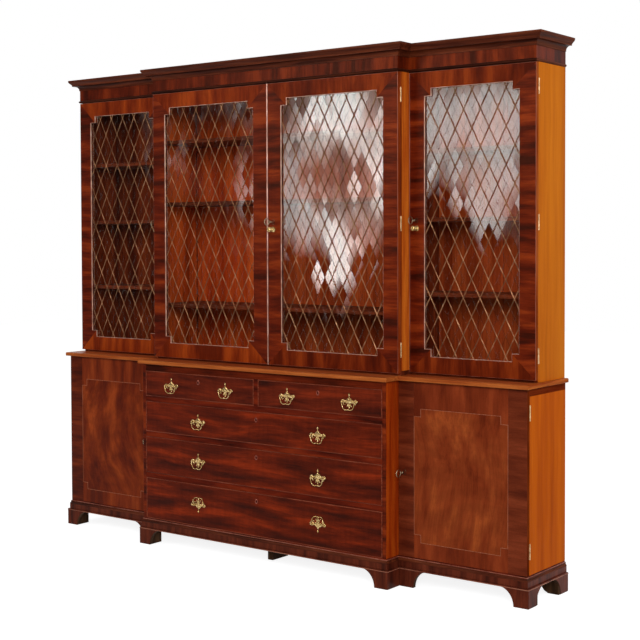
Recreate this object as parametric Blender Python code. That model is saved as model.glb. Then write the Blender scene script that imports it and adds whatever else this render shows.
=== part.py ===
# Breakfront library bookcase: a glazed upper case with brass lattice doors on a lower case
# with a chest of five drawers between two cupboards.
# Units are metres, +Z is up, the front faces -Y, and the origin is on the floor under the middle.

from math import asin, cos, hypot, pi, radians, sin

import bmesh
import bpy
from mathutils import Matrix, Vector

# Fits between pieces
GAP = 0.0003              # face to face seat
RUNNING_GAP = 0.0010      # round a drawer front or a door edge
SWING_GAP = 0.0025        # beside a wing door, which swings past the hinges of the middle doors
LAP = 0.0040              # how far fused pieces run into each other
OVERRUN = 0.0100          # how far a cutter passes its work

# Plan of the case
CASE_HALF_WIDTH = 1.320       # lower case, outer face of the end boards
CHEST_HALF_WIDTH = 0.709      # the section that stands forward
CASE_DEPTH = 0.425            # chest front to the back
CHEST_BREAK = 0.092           # chest front to cupboard front
UPPER_CASE_INSET = 0.004      # upper case narrower than the lower one at each end
UPPER_CENTRE_OVERHANG = 0.003 # its middle section wider than the chest at each side
UPPER_SETBACK = 0.085         # chest front to the centre doors
UPPER_BREAK = 0.084           # centre doors to wing doors

# Boards
SIDE_THICKNESS = 0.020
BACK_THICKNESS = 0.010
SHELF_THICKNESS = 0.018
DOOR_THICKNESS = 0.020

# Heights of the lower case
FOOT_HEIGHT = 0.077
PLINTH_BAND = 0.028
PLINTH_MOULD_HEIGHT = 0.0155
PLINTH_PROJECTION = 0.015
PLINTH_WALL = 0.020
FLOOR_THICKNESS = 0.0145
CASE_FLOOR = 0.1255
WAIST_UNDERSIDE = 0.872
WAIST_THICKNESS = 0.018
WAIST_SIDE_OVERHANG = 0.014
WAIST_FRONT_OVERHANG = 0.021
FOOT_BASE_WIDTH = 0.068
FOOT_TOP_WIDTH = 0.135
RETURN_FOOT_WIDTH = 0.060
SUPPORT_BLOCK_SIZE = 0.100
SUPPORT_BLOCK_DEPTH = 0.045
SUPPORT_BLOCK_SETBACK = 0.110

# Heights of the upper case
UPPER_FLOOR_THICKNESS = 0.018
UPPER_DOOR_LIFT = 0.0095      # reveal under the upper doors
UPPER_DOOR_TOP = 2.172
CORNICE_REVEAL = 0.0025       # over the upper doors
CORNICE_WALL = 0.018
TOP_BOARD_THICKNESS = 0.016
TOP_BOARD_DROP = 0.003

# Cornice section, from the bead up
CORNICE_BEAD_HEIGHT = 0.0105
CORNICE_BEAD_STAND = 0.005
FRIEZE_HEIGHT = 0.063
CORNICE_HEIGHT = 0.0525       # over the frieze
CORNICE_FILLET = 0.003
COVE_STAND = 0.017
COVE_HEIGHT = 0.0195
CYMA_STEP = 0.009
CORNICE_PROJECTION = 0.043
CORNICE_LIP = 0.006

# Drawers
UPPER_ROW_HEIGHTS = (0.122, 0.147, 0.175)     # the bottom row takes what is left
DRAWER_ROWS_TOP = 0.839
DRAWER_RAIL = 0.024
DUST_PANEL = 0.012
RAIL_DEPTH = 0.035
TOP_RAIL_DEPTH = 0.060
DIVIDER_THICKNESS = 0.024
DRAWER_FRONT_THICKNESS = 0.022
DRAWER_LENGTH = 0.390
DRAWER_WALL = 0.010
DRAWER_BOTTOM = 0.012
DRAWER_BOX_DROP = 0.014       # box sides below the top of the front
BEAD_WIDTH = 0.003
BEAD_STAND = 0.002

# Drawer handles
HANDLE_HALF_WIDTH = 0.0425
HANDLE_HALF_HEIGHT = 0.034
PLATE_THICKNESS = 0.003
POST_SPACING = 0.062
POST_RADIUS = 0.0045
POST_LENGTH = 0.0165
POST_HEIGHT = -0.003          # posts from the middle of the plate
BAIL_AXIS_STAND = 0.0120      # bail pivots in front of the drawer front
BAIL_RADIUS = 0.0020
BAIL_PIN = 0.0090             # pin from the post centre outwards
BAIL_DROP = 0.0300

# Doors
STILE_WIDTH = 0.075
MEETING_STILE_WIDTH = 0.080
RAIL_WIDTH = 0.070
NOTCH = 0.032                 # re-entrant square corners of the glazing
GROOVE_DEPTH = 0.008
GLASS_THICKNESS = 0.003
HINGE_HEIGHT = 0.064
HINGE_RADIUS = 0.0030
HINGE_LEAF = 0.008
UPPER_HINGE_HEIGHTS = (2.077, 1.534, 0.998)
LOWER_HINGE_HEIGHTS = (0.776, 0.222)
MEETING_BEAD_WIDTH = 0.008
MEETING_BEAD_STAND = 0.004
PANEL_INSET = 0.080           # flat panel of the lower doors inside its stringing
PANEL_SINK = 0.0012

# Knobs and keys
KNOB_HEIGHT = 1.513
KEY_HEIGHT = 1.547
LOWER_KEY_HEIGHT = 0.484
LOCK_INSET = 0.037            # keyhole from the free edge of an upper door
LOWER_LOCK_INSET = 0.030
KNOB_RADIUS = 0.0115
KNOB_LENGTH = 0.026
ESCUTCHEON_WIDTH = 0.016
ESCUTCHEON_HEIGHT = 0.026
ESCUTCHEON_STAND = 0.0012
KEY_SHANK_RADIUS = 0.0026
KEY_SHANK_LENGTH = 0.030      # in front of the door
KEY_TAIL = 0.012              # inside the lock
KEY_BOW_WIDTH = 0.024
KEY_BOW_HEIGHT = 0.030
KEY_WIRE_RADIUS = 0.0019
KEY_COLLAR_RADIUS = 0.0042
KEY_COLLAR_LENGTH = 0.005

# Lattice
LATTICE_CELL_WIDTH = 0.1114
LATTICE_CELL_HEIGHT = 0.2058
LATTICE_BAR = 0.0055
LATTICE_THICKNESS = 0.003
LATTICE_RIM = 0.005
LATTICE_SMALLEST_GAP = 0.00012   # square metres, smaller gaps at the rim are left closed

# Shelves and their supports
SHELF_HEIGHTS = {"centre": (1.150, 1.640, 1.938), "left": (1.226, 1.558, 1.850), "right": (1.232, 1.550, 1.840)}
SHELF_SETBACK = 0.014         # shelf front behind the door
RACK_WIDTH = 0.026
RACK_THICKNESS = 0.009
RACK_PITCH = 0.090
RACK_NOTCH = 0.011
RACK_INSET = 0.014
BEARER_HEIGHT = 0.016
MUNTIN_WIDTH = 0.060
MUNTIN_STAND = 0.006

# Facets
ROUND_SIDES = 8
WIRE_SIDES = 6
KNOB_SIDES = 10
BOW_STEPS = 10
ARC_STEPS = 5

# Places worked out from the sizes
CHEST_FRONT = -(CASE_DEPTH - WAIST_FRONT_OVERHANG) / 2
CASE_BACK = CHEST_FRONT + CASE_DEPTH
CUPBOARD_FRONT = CHEST_FRONT + CHEST_BREAK
CENTRE_DOOR_FRONT = CHEST_FRONT + UPPER_SETBACK
WING_DOOR_FRONT = CENTRE_DOOR_FRONT + UPPER_BREAK
WAIST_TOP = WAIST_UNDERSIDE + WAIST_THICKNESS
UPPER_FLOOR = WAIST_TOP + GAP + UPPER_FLOOR_THICKNESS
UPPER_DOOR_BOTTOM = WAIST_TOP + UPPER_DOOR_LIFT
UPPER_HALF_WIDTH = CASE_HALF_WIDTH - UPPER_CASE_INSET
UPPER_CENTRE_HALF_WIDTH = CHEST_HALF_WIDTH + UPPER_CENTRE_OVERHANG
CORNICE_BOTTOM = UPPER_DOOR_TOP + CORNICE_REVEAL
FRIEZE_TOP = CORNICE_BOTTOM + FRIEZE_HEIGHT
CORNICE_TOP = FRIEZE_TOP + CORNICE_HEIGHT
TOP_BOARD_TOP = CORNICE_TOP - TOP_BOARD_DROP
TOP_BOARD_UNDERSIDE = TOP_BOARD_TOP - TOP_BOARD_THICKNESS
BACK_FACE = CASE_BACK - BACK_THICKNESS
LOWER_DOOR_TOP = WAIST_UNDERSIDE - 2 * RUNNING_GAP
LOWER_DOOR_BOTTOM = CASE_FLOOR + RUNNING_GAP
HINGE_OFFSET = HINGE_RADIUS + GAP


def make_material(name, colour, roughness, metallic=0.0, alpha=1.0):
    material = bpy.data.materials.new(name)
    material.use_nodes = True
    shader = material.node_tree.nodes["Principled BSDF"]
    shader.inputs["Base Color"].default_value = (*colour, 1.0)
    shader.inputs["Roughness"].default_value = roughness
    shader.inputs["Metallic"].default_value = metallic
    shader.inputs["Alpha"].default_value = alpha
    return material


def clear_scene():
    for thing in list(bpy.data.objects):
        bpy.data.objects.remove(thing, do_unlink=True)


# Mesh helpers

def box_mesh(low, high):
    bm = bmesh.new()
    size = Vector(high) - Vector(low)
    middle = (Vector(high) + Vector(low)) / 2
    bmesh.ops.create_cube(bm, size=1.0, matrix=Matrix.Translation(middle) @ Matrix.Diagonal((*size, 1.0)))
    return bm


def on_plane(axis, pair, height):
    if axis == "x":
        return (height, pair[0], pair[1])
    if axis == "y":
        return (pair[0], height, pair[1])
    return (pair[0], pair[1], height)


def prism_mesh(outline, axis, start, end, holes=()):
    """An outline with optional holes, extruded along an axis."""
    bm = bmesh.new()
    edges = []
    for loop in (outline, *holes):
        ring = [bm.verts.new(on_plane(axis, pair, start)) for pair in loop]
        edges += [bm.edges.new((ring[i], ring[(i + 1) % len(ring)])) for i in range(len(ring))]
    if holes:
        bmesh.ops.triangle_fill(bm, use_beauty=True, edges=edges)
    else:
        bm.faces.new(list(bm.verts))
    body = bmesh.ops.extrude_face_region(bm, geom=bm.faces[:])
    moved = [item for item in body["geom"] if isinstance(item, bmesh.types.BMVert)]
    bmesh.ops.translate(bm, verts=moved, vec=Vector(on_plane(axis, (0, 0), end - start)))
    bmesh.ops.recalc_face_normals(bm, faces=bm.faces)
    return bm


def sweep_mesh(profile, outline_of):
    """A closed profile of (projection, height) pairs carried round an open plan with mitred corners."""
    bm = bmesh.new()
    rings = [[bm.verts.new((*point, height)) for point in outline_of(projection)] for projection, height in profile]
    count = len(profile)
    for j in range(count):
        here, after = rings[j], rings[(j + 1) % count]
        for i in range(len(here) - 1):
            bm.faces.new((here[i], here[i + 1], after[i + 1], after[i]))
    bm.faces.new([ring[0] for ring in rings])
    bm.faces.new([ring[-1] for ring in rings])
    bmesh.ops.recalc_face_normals(bm, faces=bm.faces)
    return bm


def turned_mesh(profile, sides, axis_point):
    """A profile of (radius, y) pairs turned round a line along Y, closed at both ends."""
    bm = bmesh.new()
    rings = []
    for radius, y in profile:
        turns = [2 * pi * (k + 1 / 2) / sides for k in range(sides)]
        rings.append([bm.verts.new((axis_point[0] + radius * cos(a), y, axis_point[1] + radius * sin(a)))
                      for a in turns])
    for here, after in zip(rings, rings[1:]):
        for k in range(sides):
            bm.faces.new((here[k], here[(k + 1) % sides], after[(k + 1) % sides], after[k]))
    bm.faces.new(rings[0])
    bm.faces.new(rings[-1])
    bmesh.ops.recalc_face_normals(bm, faces=bm.faces)
    return bm


def tube_mesh(path, radius, sides, closed=False):
    """A round wire along a path that lies in one plane across X or Y."""
    bm = bmesh.new()
    points = [Vector(point) for point in path]
    count = len(points)
    flat_x = max(p.x for p in points) - min(p.x for p in points) < radius
    across = Vector((1, 0, 0)) if flat_x else Vector((0, 1, 0))
    rings = []
    for i, point in enumerate(points):
        before = points[(i - 1) % count] if closed or i else point
        after = points[(i + 1) % count] if closed or i < count - 1 else point
        along = (after - before).normalized()
        side = along.cross(across).normalized()
        ring = []
        for k in range(sides):
            angle = 2 * pi * (k + 1 / 2) / sides
            ring.append(bm.verts.new(point + radius * (cos(angle) * side + sin(angle) * across)))
        rings.append(ring)
    pairs = list(zip(rings, rings[1:])) + ([(rings[-1], rings[0])] if closed else [])
    for here, beyond in pairs:
        for k in range(sides):
            bm.faces.new((here[k], here[(k + 1) % sides], beyond[(k + 1) % sides], beyond[k]))
    if not closed:
        bm.faces.new(rings[0])
        bm.faces.new(rings[-1])
    bmesh.ops.recalc_face_normals(bm, faces=bm.faces)
    return bm


def make_object(name, bm, material, smooth=False):
    mesh = bpy.data.meshes.new(name)
    bm.to_mesh(mesh)
    bm.free()
    mesh.materials.append(material)
    if smooth:
        mesh.shade_smooth()
        mesh.set_sharp_from_angle(angle=radians(35))
    made = bpy.data.objects.new(name, mesh)
    bpy.context.scene.collection.objects.link(made)
    return made


def combined(name, base, joined, cut, material, smooth=False):
    """One body: the base with pieces joined to it and pieces cut out of it."""
    made = make_object(name, base, material)
    tools = []
    for operation, pieces in (("UNION", joined), ("DIFFERENCE", cut)):
        for piece in pieces:
            tool = make_object(name + "_tool", piece, material)
            step = made.modifiers.new(operation.lower(), "BOOLEAN")
            step.operation = operation
            step.solver = "EXACT"
            step.object = tool
            tools.append(tool)
    bpy.context.view_layer.update()
    evaluated = made.evaluated_get(bpy.context.evaluated_depsgraph_get())
    bm = bmesh.new()
    bm.from_mesh(evaluated.to_mesh())
    evaluated.to_mesh_clear()
    bmesh.ops.remove_doubles(bm, verts=bm.verts[:], dist=GAP / 100)
    bmesh.ops.dissolve_limit(bm, angle_limit=radians(0.2), verts=bm.verts[:], edges=bm.edges[:])
    for thing in (*tools, made):
        bpy.data.objects.remove(thing, do_unlink=True)
    return make_object(name, bm, material, smooth)


def set_origin(made, point):
    """Put an object's origin on its joint axis, with its mesh left where it is."""
    made.data.transform(Matrix.Translation(-Vector(point)))
    made.location = point
    return made


def carry(piece, carrier):
    """Hang a fixed piece on its moving carrier."""
    set_origin(piece, carrier.location)
    piece.parent = carrier
    piece.location = (0, 0, 0)


# Plans of the two cases

def lower_plan(side_grow=0.0, front_grow=None, back=CASE_BACK):
    front = side_grow if front_grow is None else front_grow
    return breakfront(CASE_HALF_WIDTH + side_grow, CHEST_HALF_WIDTH + side_grow,
                      CUPBOARD_FRONT - front, CHEST_FRONT - front, back)


def upper_plan(grow=0.0, back=CASE_BACK):
    return breakfront(UPPER_HALF_WIDTH + grow, UPPER_CENTRE_HALF_WIDTH + grow,
                      WING_DOOR_FRONT - grow, CENTRE_DOOR_FRONT - grow, back)


def breakfront(wide, centre, wing_front, centre_front, back):
    right = [(centre, centre_front), (centre, wing_front), (wide, wing_front), (wide, back)]
    return [(-x, y) for x, y in reversed(right)] + right


# Lower case

def foot_outline(start, direction, base=FOOT_BASE_WIDTH, top=FOOT_TOP_WIDTH):
    """One bracket foot in its own plane: straight outer edge, hollow quarter curve inside."""
    points = [(0, 0)]
    for k in range(ARC_STEPS + 1):
        turn = pi / 2 * k / ARC_STEPS
        points.append((top - (top - base) * cos(turn), FOOT_HEIGHT * sin(turn)))
    points += [(top, FOOT_HEIGHT + LAP), (0, FOOT_HEIGHT + LAP)]
    return [(start + direction * along, height) for along, height in points]


def build_plinth(wood):
    band_top = FOOT_HEIGHT + PLINTH_BAND
    mould_top = band_top + PLINTH_MOULD_HEIGHT
    bead = PLINTH_MOULD_HEIGHT / 5
    profile = [(-PLINTH_WALL, FOOT_HEIGHT), (PLINTH_PROJECTION, FOOT_HEIGHT), (PLINTH_PROJECTION, band_top),
               (PLINTH_PROJECTION - bead, band_top + bead / 2)]
    hollow = PLINTH_PROJECTION - 2 * bead
    for k in range(ARC_STEPS):
        turn = pi / 2 * k / (ARC_STEPS - 1)
        profile.append((bead + hollow * (1 - sin(turn)), mould_top - bead - (mould_top - band_top - 2 * bead) * cos(turn)))
    profile += [(bead, mould_top), (-PLINTH_WALL, mould_top)]
    ring = sweep_mesh(profile, lower_plan)
    floor = prism_mesh(lower_plan(), "z", CASE_FLOOR - FLOOR_THICKNESS, CASE_FLOOR)
    back_rail = box_mesh((-CASE_HALF_WIDTH, CASE_BACK - PLINTH_WALL, FOOT_HEIGHT),
                         (CASE_HALF_WIDTH, CASE_BACK, CASE_FLOOR - FLOOR_THICKNESS + LAP))
    chest_face = CHEST_FRONT - PLINTH_PROJECTION
    cupboard_face = CUPBOARD_FRONT - PLINTH_PROJECTION
    pieces = [floor, back_rail]
    for hand in (-1, 1):
        end_face = hand * (CASE_HALF_WIDTH + PLINTH_PROJECTION)
        return_face = hand * (CHEST_HALF_WIDTH + PLINTH_PROJECTION)
        front_feet = ((end_face, -hand, cupboard_face), (return_face, hand, cupboard_face),
                      (return_face, -hand, chest_face))
        for start, direction, face in front_feet:
            pieces.append(prism_mesh(foot_outline(start, direction), "y", face, face + PLINTH_WALL))
        pieces.append(prism_mesh(foot_outline(end_face, -hand), "y", CASE_BACK - PLINTH_WALL, CASE_BACK))
        for start, direction in ((cupboard_face, 1), (CASE_BACK, -1)):
            pieces.append(prism_mesh(foot_outline(start, direction), "x", end_face, end_face - hand * PLINTH_WALL))
        return_foot = foot_outline(chest_face, 1, RETURN_FOOT_WIDTH, CHEST_BREAK)
        pieces.append(prism_mesh(return_foot, "x", return_face, return_face - hand * PLINTH_WALL))
    block_front = CHEST_FRONT + SUPPORT_BLOCK_SETBACK
    pieces.append(box_mesh((-SUPPORT_BLOCK_SIZE / 2, block_front, 0),
                           (SUPPORT_BLOCK_SIZE / 2, block_front + SUPPORT_BLOCK_DEPTH,
                            CASE_FLOOR - FLOOR_THICKNESS + LAP)))
    combined("plinth", ring, pieces, [], wood)


def build_lower_case(wood, pale_wood, inner_wood):
    bottom = CASE_FLOOR + GAP
    top = WAIST_UNDERSIDE - GAP
    for hand, side in ((-1, "left"), (1, "right")):
        outer = hand * CASE_HALF_WIDTH
        inner = hand * (CASE_HALF_WIDTH - SIDE_THICKNESS)
        make_object("base_side_" + side, box_mesh(
            (min(outer, inner), CUPBOARD_FRONT + DOOR_THICKNESS + GAP, bottom),
            (max(outer, inner), CASE_BACK, top)), pale_wood)
        outer = hand * CHEST_HALF_WIDTH
        inner = hand * (CHEST_HALF_WIDTH - SIDE_THICKNESS)
        make_object("base_partition_" + side, box_mesh(
            (min(outer, inner), CHEST_FRONT, bottom), (max(outer, inner), BACK_FACE - GAP, top)), pale_wood)
    back_half = CASE_HALF_WIDTH - SIDE_THICKNESS - GAP
    make_object("base_back", box_mesh((-back_half, BACK_FACE, bottom), (back_half, CASE_BACK, top)), inner_wood)
    make_object("waist_board", prism_mesh(lower_plan(WAIST_SIDE_OVERHANG, WAIST_FRONT_OVERHANG),
                                          "z", WAIST_UNDERSIDE, WAIST_TOP), wood)


def drawer_rows():
    """Top and bottom of each row's opening, from the top row down."""
    rows = []
    top = DRAWER_ROWS_TOP
    for height in UPPER_ROW_HEIGHTS:
        rows.append((top, top - height))
        top -= height + DRAWER_RAIL
    rows.append((top, CASE_FLOOR))
    return rows


def dustboard_mesh(top):
    half = CHEST_HALF_WIDTH - SIDE_THICKNESS - GAP
    end = BACK_FACE - GAP
    outline = [(CHEST_FRONT, top - DRAWER_RAIL), (CHEST_FRONT + RAIL_DEPTH, top - DRAWER_RAIL),
               (CHEST_FRONT + RAIL_DEPTH, top - DUST_PANEL), (end, top - DUST_PANEL), (end, top), (CHEST_FRONT, top)]
    return prism_mesh(outline, "x", -half, half)


def build_drawer_frame(wood):
    rows = drawer_rows()
    half = CHEST_HALF_WIDTH - SIDE_THICKNESS - GAP
    top_rail = box_mesh((-half, CHEST_FRONT, rows[0][0]), (half, CHEST_FRONT + TOP_RAIL_DEPTH, WAIST_UNDERSIDE - GAP))
    divider = box_mesh((-DIVIDER_THICKNESS / 2, CHEST_FRONT, rows[0][1] - LAP),
                       (DIVIDER_THICKNESS / 2, BACK_FACE - GAP, WAIST_UNDERSIDE - GAP))
    combined("drawer_frame", top_rail, [divider, dustboard_mesh(rows[0][1])], [], wood)
    make_object("dustboard_middle", dustboard_mesh(rows[1][1]), wood)
    make_object("dustboard_lower", dustboard_mesh(rows[2][1]), wood)


# Drawers and their handles

# Right half of the shaped plate, from the finial down, as shares of its half width and half height
PLATE_SHARES = ((0.00, 1.00), (0.13, 0.94), (0.06, 0.68), (0.22, 0.52), (0.34, 0.34), (0.52, 0.34),
                (0.66, 0.20), (0.90, 0.42), (1.00, 0.26), (0.82, -0.10), (0.92, -0.42), (0.66, -0.16),
                (0.46, 0.08), (0.16, -0.10), (0.34, -0.42), (0.09, -0.34), (0.12, -0.54), (0.00, -0.66))

# One half of the bail from its pin to the grip, as shares of half the post spacing and of the drop
BAIL_SHARES = ((1.30, -0.12), (1.24, -0.40), (1.02, -0.70), (0.62, -0.94), (0.00, -0.97))


def plate_meshes(middle_x, middle_z, flip):
    """Back plate and its two posts, joined to the drawer front."""
    right = [(middle_x + HANDLE_HALF_WIDTH * a, middle_z + flip * HANDLE_HALF_HEIGHT * b) for a, b in PLATE_SHARES]
    left = [(2 * middle_x - x, z) for x, z in reversed(right[1:-1])]
    pieces = [prism_mesh(right + left, "y", CHEST_FRONT - PLATE_THICKNESS, CHEST_FRONT + BEAD_STAND + LAP)]
    post_z = middle_z + flip * POST_HEIGHT
    for hand in (-1, 1):
        profile = [(POST_RADIUS, CHEST_FRONT + BEAD_STAND + LAP), (POST_RADIUS, CHEST_FRONT - POST_LENGTH + POST_RADIUS / 2),
                   (POST_RADIUS / 2, CHEST_FRONT - POST_LENGTH)]
        pieces.append(turned_mesh(profile, ROUND_SIDES, (middle_x + hand * POST_SPACING / 2, post_z)))
    return pieces


def bail_lean():
    """How far a raised bail leans back until it lies on the drawer front."""
    return asin((BAIL_AXIS_STAND - BAIL_RADIUS - GAP) / BAIL_DROP)


def build_bail(name, middle_x, axis_z, flip, brass, drawer):
    half = POST_SPACING / 2
    pin = [(half - POST_RADIUS / 2, 0), (half + POST_RADIUS, 0), (half + BAIL_PIN, 0)]
    side = pin + [(half * a, flip * BAIL_DROP * b) for a, b in BAIL_SHARES]
    flat = side + [(-x, z) for x, z in reversed(side[:-1])]
    lean = bail_lean() if flip < 0 else 0.0
    axis_y = CHEST_FRONT - BAIL_AXIS_STAND
    path = [(middle_x + x, axis_y + abs(z) * sin(lean), axis_z + z * cos(lean)) for x, z in flat]
    bail = make_object(name, tube_mesh(path, BAIL_RADIUS, WIRE_SIDES), brass, smooth=True)
    set_origin(bail, (middle_x, axis_y, axis_z))
    bail.parent = drawer
    bail.location = bail.location - drawer.location


def build_drawer(name, left, right, row, spread, flip, wood, brass):
    """Box and cock-beaded front, with a handle at each side of the middle."""
    top, bottom = row
    low = (left + RUNNING_GAP, CHEST_FRONT - BEAD_STAND, bottom + RUNNING_GAP)
    high = (right - RUNNING_GAP, CHEST_FRONT + DRAWER_FRONT_THICKNESS, top - RUNNING_GAP)
    front = box_mesh(low, high)
    front.faces.ensure_lookup_table()
    face = [item for item in front.faces if item.normal.y < -1 / 2]
    bmesh.ops.inset_region(front, faces=face, thickness=BEAD_WIDTH, depth=0)
    bmesh.ops.translate(front, verts=face[0].verts[:], vec=(0, BEAD_STAND, 0))
    box_low = (left + RUNNING_GAP + GAP, high[1] - LAP, bottom + GAP)
    box_high = (right - RUNNING_GAP - GAP, CHEST_FRONT + DRAWER_LENGTH, top - DRAWER_BOX_DROP)
    box = box_mesh(box_low, box_high)
    hollow = box_mesh((box_low[0] + DRAWER_WALL, high[1], box_low[2] + DRAWER_BOTTOM),
                      (box_high[0] - DRAWER_WALL, box_high[1] - DRAWER_WALL, box_high[2] + OVERRUN))
    middle_x = (left + right) / 2
    middle_z = (top + bottom) / 2
    joined = [box]
    for hand in (-1, 1):
        joined += plate_meshes(middle_x + hand * spread, middle_z, flip)
    axis_z = middle_z + flip * POST_HEIGHT
    bore = tube_mesh([(left, CHEST_FRONT - BAIL_AXIS_STAND, axis_z), (right, CHEST_FRONT - BAIL_AXIS_STAND, axis_z)],
                     BAIL_RADIUS + GAP, WIRE_SIDES)
    drawer = combined(name, front, joined, [hollow, bore], wood)
    set_origin(drawer, (middle_x, CHEST_FRONT, middle_z))
    for hand, side in ((-1, "left"), (1, "right")):
        bail_name = name.replace("drawer", "bail") + "_" + side
        build_bail(bail_name, middle_x + hand * spread, axis_z, flip, brass, drawer)


def build_drawers(wood, brass):
    """Long drawers have their handles under the middles of the short ones."""
    rows = drawer_rows()
    half = CHEST_HALF_WIDTH - SIDE_THICKNESS
    inner = DIVIDER_THICKNESS / 2
    short_spread = (half - inner) / 4
    long_spread = (half + inner) / 2
    build_drawer("drawer_top_left", -half, -inner, rows[0], short_spread, 1, wood, brass)
    build_drawer("drawer_top_right", inner, half, rows[0], short_spread, 1, wood, brass)
    build_drawer("drawer_upper", -half, half, rows[1], long_spread, 1, wood, brass)
    build_drawer("drawer_middle", -half, half, rows[2], long_spread, 1, wood, brass)
    build_drawer("drawer_bottom", -half, half, rows[3], long_spread, -1, wood, brass)


# Upper case

def rack_outline(front, height_range):
    """Saw-toothed shelf support seen from the side: each tooth has a level seat and a slope."""
    low, high = height_range
    points = [(front, low), (front + RACK_WIDTH, low), (front + RACK_WIDTH, high), (front, high)]
    count = int((high - low) / RACK_PITCH)
    for k in reversed(range(1, count)):
        seat = low + RACK_PITCH * k
        points += [(front, seat + RACK_NOTCH), (front + RACK_NOTCH, seat)]
        points.append((front, seat))
    return points


def rack_places(bay_front):
    shelf_front = bay_front + DOOR_THICKNESS + SHELF_SETBACK
    return (shelf_front + RACK_INSET, BACK_FACE - MUNTIN_STAND - RACK_INSET - RACK_WIDTH)


def face_fittings(face, hand, bay, bay_front):
    """Two saw-toothed racks and three shelf bearers on one side face of a bay."""
    inner, outer = face - hand * LAP, face + hand * RACK_THICKNESS
    span = (UPPER_FLOOR + LAP, UPPER_DOOR_TOP - LAP)
    fittings = [prism_mesh(rack_outline(front, span), "x", min(inner, outer), max(inner, outer))
                for front in rack_places(bay_front)]
    first, last = rack_places(bay_front)
    for height in SHELF_HEIGHTS[bay]:
        top = height - SHELF_THICKNESS / 2 - GAP
        fittings.append(box_mesh((min(inner, outer), first + RACK_WIDTH / 2, top - BEARER_HEIGHT),
                                 (max(inner, outer), last + RACK_WIDTH / 2, top)))
    return fittings


def build_upper_case(pale_wood, inner_wood):
    top = CORNICE_BOTTOM - GAP
    for hand, side in ((-1, "left"), (1, "right")):
        outer = hand * UPPER_HALF_WIDTH
        inner = hand * (UPPER_HALF_WIDTH - SIDE_THICKNESS)
        board = box_mesh((min(outer, inner), WING_DOOR_FRONT + DOOR_THICKNESS + GAP, WAIST_TOP + GAP),
                         (max(outer, inner), CASE_BACK, top))
        combined("upper_side_" + side, board, face_fittings(inner, -hand, side, WING_DOOR_FRONT), [], pale_wood)
        outer = hand * UPPER_CENTRE_HALF_WIDTH
        inner = hand * (UPPER_CENTRE_HALF_WIDTH - SIDE_THICKNESS)
        board = box_mesh((min(outer, inner), CENTRE_DOOR_FRONT + DOOR_THICKNESS + GAP, UPPER_FLOOR + GAP),
                         (max(outer, inner), BACK_FACE - GAP, top))
        fittings = face_fittings(inner, -hand, "centre", CENTRE_DOOR_FRONT)
        fittings += face_fittings(outer, hand, side, WING_DOOR_FRONT)
        combined("upper_partition_" + side, board, fittings, [], pale_wood)
    half = UPPER_HALF_WIDTH - SIDE_THICKNESS - GAP
    floor = breakfront(half, UPPER_CENTRE_HALF_WIDTH, WING_DOOR_FRONT + DOOR_THICKNESS + GAP,
                       CENTRE_DOOR_FRONT + DOOR_THICKNESS + GAP, CASE_BACK)
    make_object("upper_bottom_board", prism_mesh(floor, "z", WAIST_TOP + GAP, UPPER_FLOOR), inner_wood)
    build_upper_back(inner_wood, half, top)
    for bay, heights in SHELF_HEIGHTS.items():
        for height, level in zip(heights, ("low", "middle", "high")):
            build_shelf("shelf_" + bay + "_" + level, bay, height, inner_wood)


def build_upper_back(wood, half, top):
    """Boarded back with raised vertical muntins towards the bays."""
    front = BACK_FACE - MUNTIN_STAND + GAP
    bay_middle = (UPPER_CENTRE_HALF_WIDTH + UPPER_HALF_WIDTH - SIDE_THICKNESS) / 2
    outline = [(half, CASE_BACK), (-half, CASE_BACK), (-half, BACK_FACE)]
    for x in (-bay_middle, 0, bay_middle):
        outline += [(x - MUNTIN_WIDTH / 2, BACK_FACE), (x - MUNTIN_WIDTH / 2, front),
                    (x + MUNTIN_WIDTH / 2, front), (x + MUNTIN_WIDTH / 2, BACK_FACE)]
    outline.append((half, BACK_FACE))
    make_object("upper_back", prism_mesh(outline, "z", UPPER_FLOOR + GAP, top), wood)


def build_shelf(name, bay, height, wood):
    """A shelf cut round the four racks of its bay."""
    front = CENTRE_DOOR_FRONT if bay == "centre" else WING_DOOR_FRONT
    racks = rack_places(front)
    shelf_front = front + DOOR_THICKNESS + SHELF_SETBACK
    shelf_back = BACK_FACE - MUNTIN_STAND
    centre_face = UPPER_CENTRE_HALF_WIDTH - SIDE_THICKNESS - GAP
    wing_faces = (UPPER_CENTRE_HALF_WIDTH + GAP, UPPER_HALF_WIDTH - SIDE_THICKNESS - GAP)
    low, high = {"centre": (-centre_face, centre_face), "right": wing_faces,
                 "left": (-wing_faces[1], -wing_faces[0])}[bay]
    depth = RACK_THICKNESS + GAP
    steps = [(low, shelf_front)]
    left = [(low, shelf_back)]
    for place in reversed(racks):
        rear, fore = place + RACK_WIDTH + GAP, place - GAP
        left += [(low, rear), (low + depth, rear), (low + depth, fore), (low, fore)]
    right = [(low + high - x, y) for x, y in reversed(left)]
    outline = steps + [(high, shelf_front)] + right + left
    make_object(name, prism_mesh(outline, "z", height - SHELF_THICKNESS / 2, height + SHELF_THICKNESS / 2), wood)


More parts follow.
